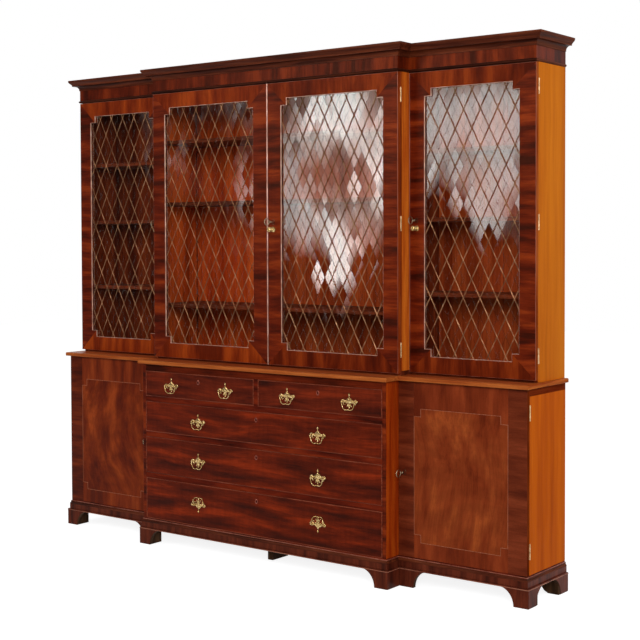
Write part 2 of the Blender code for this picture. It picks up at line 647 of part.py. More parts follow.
def build_cornice(wood):
    """Bead, frieze, cove and cyma run round the plan, over a closed top board."""
    profile = [(-CORNICE_WALL, CORNICE_BOTTOM), (0, CORNICE_BOTTOM)]
    for k in range(ARC_STEPS):
        turn = pi * k / (ARC_STEPS - 1)
        height = CORNICE_BOTTOM + CORNICE_FILLET / 4 + CORNICE_BEAD_HEIGHT / 2 * (1 - cos(turn))
        profile.append((CORNICE_BEAD_STAND * sin(turn), height))
    profile.append((0, FRIEZE_TOP))
    cove_start = FRIEZE_TOP + CORNICE_FILLET
    profile.append((CORNICE_FILLET, FRIEZE_TOP))
    for k in range(ARC_STEPS):
        turn = pi / 2 * k / (ARC_STEPS - 1)
        profile.append((CORNICE_FILLET + COVE_STAND * (1 - cos(turn)), cove_start + COVE_HEIGHT * sin(turn)))
    cyma_base = CORNICE_FILLET + COVE_STAND + CYMA_STEP
    cyma_start = cove_start + COVE_HEIGHT + CORNICE_FILLET
    profile.append((cyma_base, cove_start + COVE_HEIGHT))
    rise = CORNICE_TOP - CORNICE_LIP - cyma_start
    for k in range(ARC_STEPS + 1):
        share = k / ARC_STEPS
        swing = (1 - cos(pi * share)) / 2
        profile.append((cyma_base + (CORNICE_PROJECTION - cyma_base) * swing, cyma_start + rise * share))
    profile += [(CORNICE_PROJECTION, CORNICE_TOP), (-CORNICE_WALL, CORNICE_TOP)]
    ring = sweep_mesh(profile, upper_plan)
    inner = CORNICE_WALL - LAP
    top_board = prism_mesh(upper_plan(-inner, CASE_BACK), "z", TOP_BOARD_UNDERSIDE, TOP_BOARD_TOP)
    back_board = box_mesh((-UPPER_HALF_WIDTH + CORNICE_WALL - LAP, CASE_BACK - BACK_THICKNESS, CORNICE_BOTTOM),
                          (UPPER_HALF_WIDTH - CORNICE_WALL + LAP, CASE_BACK, TOP_BOARD_UNDERSIDE + LAP))
    combined("cornice", ring, [top_board, back_board], [], wood)


# Doors

def notched(low, high, notch, grow=0.0):
    """A rectangle with square re-entrant corners, as (x, z) pairs."""
    left, bottom = low[0] - grow, low[1] - grow
    right, top = high[0] + grow, high[1] + grow
    return [(left + notch, bottom), (right - notch, bottom), (right - notch, bottom + notch), (right, bottom + notch),
            (right, top - notch), (right - notch, top - notch), (right - notch, top), (left + notch, top),
            (left + notch, top - notch), (left, top - notch), (left, bottom + notch), (left + notch, bottom + notch)]


def hinge_meshes(edge, hand, rear, heights):
    """Butt hinge knuckles outside the case face, each with its leaf let into the door edge."""
    axis_x = edge + hand * HINGE_OFFSET
    pieces = []
    for height in heights:
        low, high = height - HINGE_HEIGHT / 2, height + HINGE_HEIGHT / 2
        turns = [2 * pi * (k + 1 / 2) / ROUND_SIDES for k in range(ROUND_SIDES)]
        knuckle = [(axis_x + HINGE_RADIUS * cos(a), rear + HINGE_RADIUS * sin(a)) for a in turns]
        pieces.append(prism_mesh(knuckle, "z", low, high))
        leaf = sorted((edge - hand * LAP, axis_x))
        pieces.append(box_mesh((leaf[0], rear - HINGE_LEAF, low), (leaf[1], rear - GAP, high)))
    return pieces


def knob_mesh(x, z, front):
    """Turned brass knob with a rose, a waisted neck and a domed head."""
    shares = ((0.70, 0.00), (0.70, 0.10), (0.36, 0.20), (0.36, 0.45), (0.86, 0.60), (1.00, 0.76), (0.78, 0.94), (0.30, 1.00))
    profile = [(KNOB_RADIUS * r, front - KNOB_LENGTH * y) for r, y in shares]
    profile[0] = (profile[0][0], front + LAP)
    return turned_mesh(profile, KNOB_SIDES, (x, z))


def escutcheon_mesh(x, z, front):
    """Thin oval plate round a keyhole."""
    turns = [2 * pi * (k + 1 / 2) / KNOB_SIDES for k in range(KNOB_SIDES)]
    oval = [(x + ESCUTCHEON_WIDTH / 2 * cos(a), z + ESCUTCHEON_HEIGHT / 2 * sin(a)) for a in turns]
    return prism_mesh(oval, "y", front - ESCUTCHEON_STAND, front + LAP)


def lock_bore(x, z, front):
    profile = [(KEY_SHANK_RADIUS + GAP, front - OVERRUN), (KEY_SHANK_RADIUS + GAP, front + KEY_TAIL + GAP)]
    return turned_mesh(profile, ROUND_SIDES, (x, z))


def build_key(name, x, z, front, steel, door):
    """Shank with a collar and an oval bow that stands upright."""
    tip = front - KEY_SHANK_LENGTH
    collar = tip + 2 * KEY_COLLAR_LENGTH
    profile = [(KEY_SHANK_RADIUS, front + KEY_TAIL), (KEY_SHANK_RADIUS, collar),
               (KEY_COLLAR_RADIUS, collar - KEY_COLLAR_LENGTH / 3), (KEY_COLLAR_RADIUS, collar - KEY_COLLAR_LENGTH),
               (KEY_SHANK_RADIUS, collar - KEY_COLLAR_LENGTH), (KEY_SHANK_RADIUS, tip - KEY_WIRE_RADIUS)]
    shank = turned_mesh(profile, ROUND_SIDES, (x, z))
    turns = [2 * pi * k / BOW_STEPS for k in range(BOW_STEPS)]
    bow = [(x, tip - KEY_BOW_WIDTH / 2 * (1 - cos(a)), z + KEY_BOW_HEIGHT / 2 * sin(a)) for a in turns]
    key = combined(name, shank, [tube_mesh(bow, KEY_WIRE_RADIUS, WIRE_SIDES, closed=True)], [], steel, smooth=True)
    set_origin(key, (x, front, z))
    key.parent = door
    key.location = key.location - door.location


def lattice_cells(low, high):
    """Diamond gaps of a net centred on the opening, each trimmed to the rim, as lists of (x, z)."""
    middle = ((low[0] + high[0]) / 2, (low[1] + high[1]) / 2)
    half_w, half_h = LATTICE_CELL_WIDTH / 2, LATTICE_CELL_HEIGHT / 2
    inset = LATTICE_BAR / 2 * hypot(half_w, half_h)
    gap_w, gap_h = half_w - inset / half_h, half_h - inset / half_w
    across = int((high[0] - low[0]) / LATTICE_CELL_WIDTH) + 2
    along = int((high[1] - low[1]) / LATTICE_CELL_HEIGHT) + 2
    cells = []
    for i in range(-across, across + 1):
        for j in range(-along, along + 1):
            if (i + j) % 2:
                continue
            x, z = middle[0] + i * half_w, middle[1] + j * half_h
            diamond = [(x - gap_w, z), (x, z - gap_h), (x + gap_w, z), (x, z + gap_h)]
            cell = clipped(diamond, low, high)
            if cell and area(cell) > LATTICE_SMALLEST_GAP:
                cells.append(cell)
    return cells


def clipped(polygon, low, high):
    """A convex polygon cut to an upright rectangle."""
    for axis, limit, sign in ((0, low[0], 1), (0, high[0], -1), (1, low[1], 1), (1, high[1], -1)):
        kept = []
        for i, point in enumerate(polygon):
            before = polygon[i - 1]
            inside, was_inside = (sign * (p[axis] - limit) >= 0 for p in (point, before))
            if inside != was_inside:
                share = (limit - before[axis]) / (point[axis] - before[axis])
                kept.append(tuple(before[n] + share * (point[n] - before[n]) for n in (0, 1)))
            if inside:
                kept.append(point)
        polygon = kept
        if len(polygon) < 3:
            return []
    return polygon


def area(polygon):
    return abs(sum(a[0] * b[1] - b[0] * a[1] for a, b in zip(polygon, polygon[1:] + polygon[:1]))) / 2


def build_lattice(name, low, high, front, brass):
    """Flat brass net with a rim that follows the notched opening."""
    back = front + LATTICE_THICKNESS
    plate = prism_mesh(notched(low, high, NOTCH), "y", front, back)
    rim_low = (low[0] + LATTICE_RIM, low[1] + LATTICE_RIM)
    rim_high = (high[0] - LATTICE_RIM, high[1] - LATTICE_RIM)
    gaps = bmesh.new()
    for cell in lattice_cells(rim_low, rim_high):
        rings = [[gaps.verts.new((x, y, z)) for x, z in cell] for y in (front - OVERRUN, back + OVERRUN)]
        count = len(cell)
        for k in range(count):
            gaps.faces.new((rings[0][k], rings[0][(k + 1) % count], rings[1][(k + 1) % count], rings[1][k]))
        gaps.faces.new(rings[0])
        gaps.faces.new(rings[1])
    bmesh.ops.recalc_face_normals(gaps, faces=gaps.faces)
    block = NOTCH + LATTICE_RIM
    corners = []
    for x, inward_x in ((low[0], 1), (high[0], -1)):
        for z, inward_z in ((low[1], 1), (high[1], -1)):
            xs = sorted((x - inward_x * OVERRUN, x + inward_x * block))
            zs = sorted((z - inward_z * OVERRUN, z + inward_z * block))
            corners.append(box_mesh((xs[0], front - 2 * OVERRUN, zs[0]), (xs[1], back + 2 * OVERRUN, zs[1])))
    cutter = combined(name + "_gaps", gaps, [], corners, brass)
    cutter_mesh = bmesh.new()
    cutter_mesh.from_mesh(cutter.data)
    bpy.data.objects.remove(cutter, do_unlink=True)
    return combined(name, plate, [], [cutter_mesh], brass)


def build_upper_door(name, left, right, front, hinge_hand, lock, wood, glass, brass, steel):
    """Glazed door: frame with notched opening, glass in a groove and the net in front of the glass."""
    edges = {-1: left, 1: right}
    stiles = {-1: STILE_WIDTH, 1: STILE_WIDTH}
    if "centre" in name:
        stiles[-hinge_hand] = MEETING_STILE_WIDTH
    outer = [(left, UPPER_DOOR_BOTTOM), (right, UPPER_DOOR_BOTTOM), (right, UPPER_DOOR_TOP), (left, UPPER_DOOR_TOP)]
    low = (left + stiles[-1], UPPER_DOOR_BOTTOM + RAIL_WIDTH)
    high = (right - stiles[1], UPPER_DOOR_TOP - RAIL_WIDTH)
    rear = front + DOOR_THICKNESS
    frame = prism_mesh(outer, "y", front, rear, holes=[notched(low, high, NOTCH)])
    groove_front = front + DOOR_THICKNESS / 2
    groove = prism_mesh(notched(low, high, NOTCH, GROOVE_DEPTH), "y",
                        groove_front, groove_front + GLASS_THICKNESS + 2 * GAP)
    hinge_edge = edges[hinge_hand]
    free_edge = edges[-hinge_hand]
    joined = hinge_meshes(hinge_edge, hinge_hand, rear, UPPER_HINGE_HEIGHTS)
    cut = [groove]
    lock_x = free_edge + hinge_hand * LOCK_INSET
    if lock:
        joined.append(knob_mesh(lock_x, KNOB_HEIGHT, front))
        cut.append(lock_bore(lock_x, KEY_HEIGHT, front))
    if name == "upper_door_centre_right":
        joined.append(box_mesh((left, front - MEETING_BEAD_STAND, UPPER_DOOR_BOTTOM),
                               (left + MEETING_BEAD_WIDTH, front + LAP, UPPER_DOOR_TOP)))
    door = combined(name, frame, joined, cut, wood)
    set_origin(door, (hinge_edge + hinge_hand * HINGE_OFFSET, rear, UPPER_DOOR_BOTTOM))
    suffix = name[len("upper_door_"):]
    glass_front = groove_front + GAP
    pane = make_object("door_glass_" + suffix, prism_mesh(notched(low, high, NOTCH, GROOVE_DEPTH - GAP), "y",
                       glass_front, glass_front + GLASS_THICKNESS), glass)
    net = build_lattice("door_lattice_" + suffix, (low[0] + GAP, low[1] + GAP), (high[0] - GAP, high[1] - GAP),
                        groove_front - LATTICE_THICKNESS, brass)
    carry(pane, door)
    carry(net, door)
    if lock:
        build_key("key_" + suffix, lock_x, KEY_HEIGHT, front, steel, door)


def build_lower_door(name, left, right, hinge_hand, wood, steel):
    front, rear = CUPBOARD_FRONT, CUPBOARD_FRONT + DOOR_THICKNESS
    edges = {-1: left, 1: right}
    board = box_mesh((left, front, LOWER_DOOR_BOTTOM), (right, rear, LOWER_DOOR_TOP))
    low = (left + PANEL_INSET, LOWER_DOOR_BOTTOM + PANEL_INSET)
    high = (right - PANEL_INSET, LOWER_DOOR_TOP - PANEL_INSET)
    panel = prism_mesh(notched(low, high, NOTCH), "y", front - OVERRUN, front + PANEL_SINK)
    hinge_edge = edges[hinge_hand]
    lock_x = edges[-hinge_hand] + hinge_hand * LOWER_LOCK_INSET
    joined = hinge_meshes(hinge_edge, hinge_hand, rear, LOWER_HINGE_HEIGHTS)
    joined.append(escutcheon_mesh(lock_x, LOWER_KEY_HEIGHT, front))
    door = combined(name, board, joined, [panel, lock_bore(lock_x, LOWER_KEY_HEIGHT, front)], wood)
    set_origin(door, (hinge_edge + hinge_hand * HINGE_OFFSET, rear, LOWER_DOOR_BOTTOM))
    build_key("key_" + name.replace("_door", ""), lock_x, LOWER_KEY_HEIGHT, front, steel, door)


def build_doors(wood, glass, brass, steel):
    middle = RUNNING_GAP / 2
    free_edge = UPPER_CENTRE_HALF_WIDTH + SWING_GAP
    build_upper_door("upper_door_centre_left", -UPPER_CENTRE_HALF_WIDTH, -middle, CENTRE_DOOR_FRONT, -1, False,
                     wood, glass, brass, steel)
    build_upper_door("upper_door_centre_right", middle, UPPER_CENTRE_HALF_WIDTH, CENTRE_DOOR_FRONT, 1, True,
                     wood, glass, brass, steel)
    build_upper_door("upper_door_left", -UPPER_HALF_WIDTH, -free_edge, WING_DOOR_FRONT, -1, True,
                     wood, glass, brass, steel)
    build_upper_door("upper_door_right", free_edge, UPPER_HALF_WIDTH, WING_DOOR_FRONT, 1, True,
                     wood, glass, brass, steel)
    free_edge = CHEST_HALF_WIDTH + 3 * RUNNING_GAP / 2
    build_lower_door("lower_door_left", -CASE_HALF_WIDTH, -free_edge, -1, wood, steel)
    build_lower_door("lower_door_right", free_edge, CASE_HALF_WIDTH, 1, wood, steel)


def main():
    clear_scene()
    mahogany = make_material("mahogany_veneer", (0.17, 0.030, 0.010), 0.32)
    cornice_wood = make_material("cornice_mahogany", (0.080, 0.018, 0.008), 0.40)
    pale = make_material("faded_side_wood", (0.42, 0.15, 0.040), 0.42)
    inner = make_material("inner_wood", (0.20, 0.050, 0.018), 0.55)
    edge = make_material("waist_edge_wood", (0.32, 0.11, 0.030), 0.38)
    brass = make_material("brass", (0.60, 0.42, 0.16), 0.28, metallic=1.0)
    steel = make_material("key_steel", (0.42, 0.36, 0.26), 0.40, metallic=1.0)
    glass = make_material("glass", (0.90, 0.92, 0.92), 0.03, alpha=0.3)
    build_plinth(mahogany)
    build_lower_case(edge, pale, inner)
    build_drawer_frame(mahogany)
    build_drawers(mahogany, brass)
    build_upper_case(pale, inner)
    build_cornice(cornice_wood)
    build_doors(mahogany, glass, brass, steel)


main()
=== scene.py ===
import random
from math import asin, cos, hypot, pi, radians, sin, tan

import bmesh
import bpy
from mathutils import Euler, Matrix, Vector


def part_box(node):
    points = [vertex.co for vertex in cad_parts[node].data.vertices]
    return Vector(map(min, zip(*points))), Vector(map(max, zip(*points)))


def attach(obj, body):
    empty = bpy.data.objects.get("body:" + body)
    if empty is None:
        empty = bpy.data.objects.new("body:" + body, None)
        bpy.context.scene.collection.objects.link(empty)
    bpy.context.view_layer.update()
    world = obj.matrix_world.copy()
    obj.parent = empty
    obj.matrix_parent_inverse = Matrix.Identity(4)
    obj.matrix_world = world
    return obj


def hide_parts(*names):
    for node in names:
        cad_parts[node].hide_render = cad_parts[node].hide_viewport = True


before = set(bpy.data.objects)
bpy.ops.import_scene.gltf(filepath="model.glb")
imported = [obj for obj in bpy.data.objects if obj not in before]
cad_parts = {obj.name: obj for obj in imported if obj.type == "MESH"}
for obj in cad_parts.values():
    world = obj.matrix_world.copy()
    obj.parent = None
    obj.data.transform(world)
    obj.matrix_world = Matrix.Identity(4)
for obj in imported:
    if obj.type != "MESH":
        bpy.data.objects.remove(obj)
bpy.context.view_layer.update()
print("frame loaded,", len(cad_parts), "nodes")

# Sizes that several pieces share, in metres. X runs to the right, the front faces -Y, the floor is z 0.
bookcase = {
    "halfWidth": 1.320, "chestHalfWidth": 0.709, "chestFront": -0.202, "cupboardFront": -0.110, "back": 0.223,
    "caseFloor": 0.1255, "waistUnder": 0.872, "waistTop": 0.890,
    "upperHalfWidth": 1.316, "upperCentreHalfWidth": 0.712, "centreDoorFront": -0.117,
    "wingDoorFront": -0.033, "doorThickness": 0.020, "doorBottom": 0.8995, "doorTop": 2.172,
    "corniceBottom": 2.1745,
}


def srgb(*levels):
    return tuple(v / 255 / 12.92 if v <= 10.31 else ((v / 255 + 0.055) / 1.055) ** 2.4 for v in levels)


# node helpers for the finishes

def newFinish(name):
    finish = bpy.data.materials.new(name)
    finish.use_nodes = True
    return finish, finish.node_tree, finish.node_tree.nodes["Principled BSDF"]


def addNode(tree, kind, inputs=None, **settings):
    made = tree.nodes.new(kind)
    for key, value in settings.items():
        setattr(made, key, value)
    for key, value in (inputs or {}).items():
        if isinstance(value, bpy.types.NodeSocket):
            tree.links.new(value, made.inputs[key])
        else:
            made.inputs[key].default_value = value
    return made


def mixColours(tree, factor, first, second, blend="MIX"):
    made = tree.nodes.new("ShaderNodeMix")
    made.data_type = "RGBA"
    made.blend_type = blend
    for index, value in ((0, factor), (6, first), (7, second)):
        if isinstance(value, bpy.types.NodeSocket):
            tree.links.new(value, made.inputs[index])
        else:
            made.inputs[index].default_value = (*value, 1.0) if index and len(value) == 3 else value
    return made.outputs[2]


def ramp(tree, factor, stops, interpolation="LINEAR"):
    made = addNode(tree, "ShaderNodeValToRGB", {"Fac": factor})
    made.color_ramp.interpolation = interpolation
    while len(made.color_ramp.elements) < len(stops):
        made.color_ramp.elements.new(0.5)
    for element, (place, colour) in zip(made.color_ramp.elements, stops):
        element.position = place
        element.color = (*colour, 1.0) if len(colour) == 3 else colour
    return made.outputs["Color"]


def grey(level):
    return (level, level, level)


def alongGrain(grain, along, across):
    return tuple(1 / along if axis == grain else 1 / across for axis in "xyz")


def stretchedNoise(tree, source, grain, along, across, detail=3.0, rough=0.55, shift=0.0):
    place = addNode(tree, "ShaderNodeMapping", {
        "Vector": source, "Location": (shift, shift * 0.7, shift * 1.3),
        "Scale": alongGrain(grain, along, across)})
    return addNode(tree, "ShaderNodeTexNoise", {"Vector": place.outputs["Vector"], "Scale": 1.0,
                                                "Detail": detail, "Roughness": rough}).outputs["Fac"]


def cloudy(tree, place, scale, detail):
    return addNode(tree, "ShaderNodeTexNoise", {"Vector": place, "Scale": scale,
                                                "Detail": detail}).outputs["Fac"]


def remap(tree, value, low, high, toLow=0.0, toHigh=1.0, **settings):
    made = addNode(tree, "ShaderNodeMapRange", {"Value": value, "From Min": low, "From Max": high,
                                                "To Min": toLow, "To Max": toHigh}, **settings)
    return made.outputs["Result"]


# polished wood, in metres along and across its grain

def woodFinish(name, look):
    finish, tree, shader = newFinish(name)
    grain = look["grain"]
    place = addNode(tree, "ShaderNodeTexCoord").outputs["Object"]
    waver = addNode(tree, "ShaderNodeTexNoise", {"Vector": place, "Scale": look.get("waverScale", 5.0),
                                                 "Detail": 0.5})
    centred = addNode(tree, "ShaderNodeVectorMath", {0: waver.outputs["Color"], 1: (0.5, 0.5, 0.5)},
                      operation="SUBTRACT")
    bent = addNode(tree, "ShaderNodeVectorMath", {0: centred.outputs[0], 1: (look.get("waver", 0.02),) * 3,
                                                  2: place},
                   operation="MULTIPLY_ADD")
    source = bent.outputs[0]
    shift = look.get("shift", 0.0)
    broad = stretchedNoise(tree, source, grain, look["figureAlong"], look["figureAcross"], 4.0, 0.58, shift)
    streak = stretchedNoise(tree, source, grain, look["streakAlong"], look["streakAcross"], 3.0, 0.6,
                            shift + 3.1)
    pore = stretchedNoise(tree, place, grain, 0.010, 0.0007, 1.0, 0.5, shift + 7.7)
    tones = [srgb(*tone) for tone in look["tones"]]
    spread = look.get("spread", 0.30)
    stops = [(0.5 - spread / 2 + spread * k / (len(tones) - 1), tone) for k, tone in enumerate(tones)]
    colour = ramp(tree, broad, stops)
    if "fade" in look:
        # painted light and shade across x: the given tones up to one x, blended into the other tones past the
        # next
        start, end, others = look["fade"]
        acrossX = addNode(tree, "ShaderNodeSeparateXYZ", {0: source}).outputs["X"]
        share = remap(tree, acrossX, start, end, interpolation_type="SMOOTHSTEP")
        paintedShadeTones = ramp(tree, broad, [(stop, srgb(*tone)) for (stop, _), tone in zip(stops, others)])
        colour = mixColours(tree, share, colour, paintedShadeTones)
    dark = ramp(tree, streak, [(0.40, grey(look.get("streakDark", 0.55))), (0.56, grey(1.0))])
    colour = mixColours(tree, look.get("streaks", 0.6), colour, dark, "MULTIPLY")
    poreMask = ramp(tree, pore, [(0.34, grey(0.40)), (0.47, grey(1.0))])
    colour = mixColours(tree, look.get("pores", 0.35), colour, poreMask, "MULTIPLY")
    ripple = look.get("ripple", 0.0)
    if ripple:
        other = "x" if grain == "z" else "z"
        across = stretchedNoise(tree, source, other, 0.12, look.get("rippleWidth", 0.018), 2.0, 0.5,
                                shift + 11.0)
        sheen = ramp(tree, across, [(0.36, grey(1.0 - ripple)), (0.64, grey(1.0 + ripple * 0.8))])
        colour = mixColours(tree, 1.0, colour, sheen, "MULTIPLY")
    tree.links.new(colour, shader.inputs["Base Color"])
    dullness = look.get("roughness", 0.34)
    tree.links.new(remap(tree, streak, 0.35, 0.65, dullness + 0.07, dullness - 0.05),
                   shader.inputs["Roughness"])
    height = addNode(tree, "ShaderNodeMath", {0: streak, 1: pore}, operation="ADD")
    bump = addNode(tree, "ShaderNodeBump", {"Height": height.outputs[0], "Strength": look.get("bump", 0.12),
                                            "Distance": 0.0006})
    tree.links.new(bump.outputs["Normal"], shader.inputs["Normal"])
    shader.inputs["Specular IOR Level"].default_value = look.get("specular", 0.07)
    shader.inputs["Specular Tint"].default_value = (1.0, 0.55, 0.34, 1.0)
    shader.inputs["Coat Weight"].default_value = look.get("coat", 0.0)
    shader.inputs["Coat Roughness"].default_value = 0.16
    return finish


def metalFinish(name, dark, mid, light, cloudScale, roughness, metallic=1.0):
    finish, tree, shader = newFinish(name)
    place = addNode(tree, "ShaderNodeTexCoord").outputs["Object"]
    cloud, fine = cloudy(tree, place, cloudScale, 4.0), cloudy(tree, place, 900.0, 2.0)
    colour = ramp(tree, cloud, [(0.32, srgb(*dark)), (0.52, srgb(*mid)), (0.70, srgb(*light))])
    tree.links.new(colour, shader.inputs["Base Color"])
    shader.inputs["Metallic"].default_value = metallic
    tree.links.new(remap(tree, cloud, 0.3, 0.7, roughness + 0.12, roughness - 0.04),
                   shader.inputs["Roughness"])
    bump = addNode(tree, "ShaderNodeBump", {"Height": fine, "Strength": 0.10, "Distance": 0.0003})
    tree.links.new(bump.outputs["Normal"], shader.inputs["Normal"])
    return finish


def glassFinish(name):
    finish, tree, shader = newFinish(name)
    place = addNode(tree, "ShaderNodeTexCoord").outputs["Object"]
    wave = cloudy(tree, place, 7.0, 0.0)
    tint = ramp(tree, wave, [(0.3, srgb(244, 248, 243)), (0.7, srgb(252, 253, 250))])
    tree.links.new(tint, shader.inputs["Base Color"])
    bump = addNode(tree, "ShaderNodeBump", {"Height": wave, "Strength": 0.006, "Distance": 0.004})
    tree.links.new(bump.outputs["Normal"], shader.inputs["Normal"])
    shader.inputs["Roughness"].default_value = 0.0
    shader.inputs["IOR"].default_value = 1.5
    shader.inputs["Transmission Weight"].default_value = 1.0
    # light passes straight through, so what stands behind the panes is lit as through open doors
    clear = addNode(tree, "ShaderNodeBsdfTransparent", {"Color": (0.93, 0.95, 0.93, 1.0)})
    ray = addNode(tree, "ShaderNodeLightPath")
    lighting = addNode(tree, "ShaderNodeMath", {0: ray.outputs["Is Shadow Ray"],
                                                1: ray.outputs["Is Diffuse Ray"]},
                       operation="MAXIMUM")
    both = addNode(tree, "ShaderNodeMixShader", {"Fac": lighting.outputs[0]})
    tree.links.new(shader.outputs[0], both.inputs[1])
    tree.links.new(clear.outputs[0], both.inputs[2])
    tree.links.new(both.outputs[0], tree.nodes["Material Output"].inputs["Surface"])
    return finish


def sawn(figureAlong, figureAcross, streakAlong, streakAcross, **more):
    return {"figureAlong": figureAlong, "figureAcross": figureAcross, "streakAlong": streakAlong,
            "streakAcross": streakAcross, **more}


# how each kind of wood is cut and polished
veneer = sawn(0.34, 0.044, 0.18, 0.0052, streaks=0.40)
railVeneer = {**veneer, "figureAcross": 0.060}
drawerFigure = sawn(0.42, 0.052, 0.26, 0.0060, waver=0.07, waverScale=2.0, streaks=0.42, ripple=0.08)
panelFigure = sawn(0.26, 0.085, 0.20, 0.0060, ripple=0.08, rippleWidth=0.034)
moulded = sawn(0.5, 0.02, 0.2, 0.003)
sunFaded = sawn(0.9, 0.055, 0.5, 0.006, spread=0.52, streaks=0.14, streakDark=0.80, pores=0.12,
                roughness=0.42)
returnWood = sawn(0.5, 0.03, 0.3, 0.004, spread=0.34, streaks=0.3)
waistWood = sawn(0.4, 0.012, 0.2, 0.003)
insideWood = sawn(0.8, 0.06, 0.4, 0.006, roughness=0.55)
unpolished = sawn(0.9, 0.09, 0.4, 0.007, spread=0.36, specular=0.0, bump=0.2)
lining = sawn(0.6, 0.03, 0.25, 0.003, roughness=0.6)
inlay = sawn(0.2, 0.01, 0.1, 0.002)

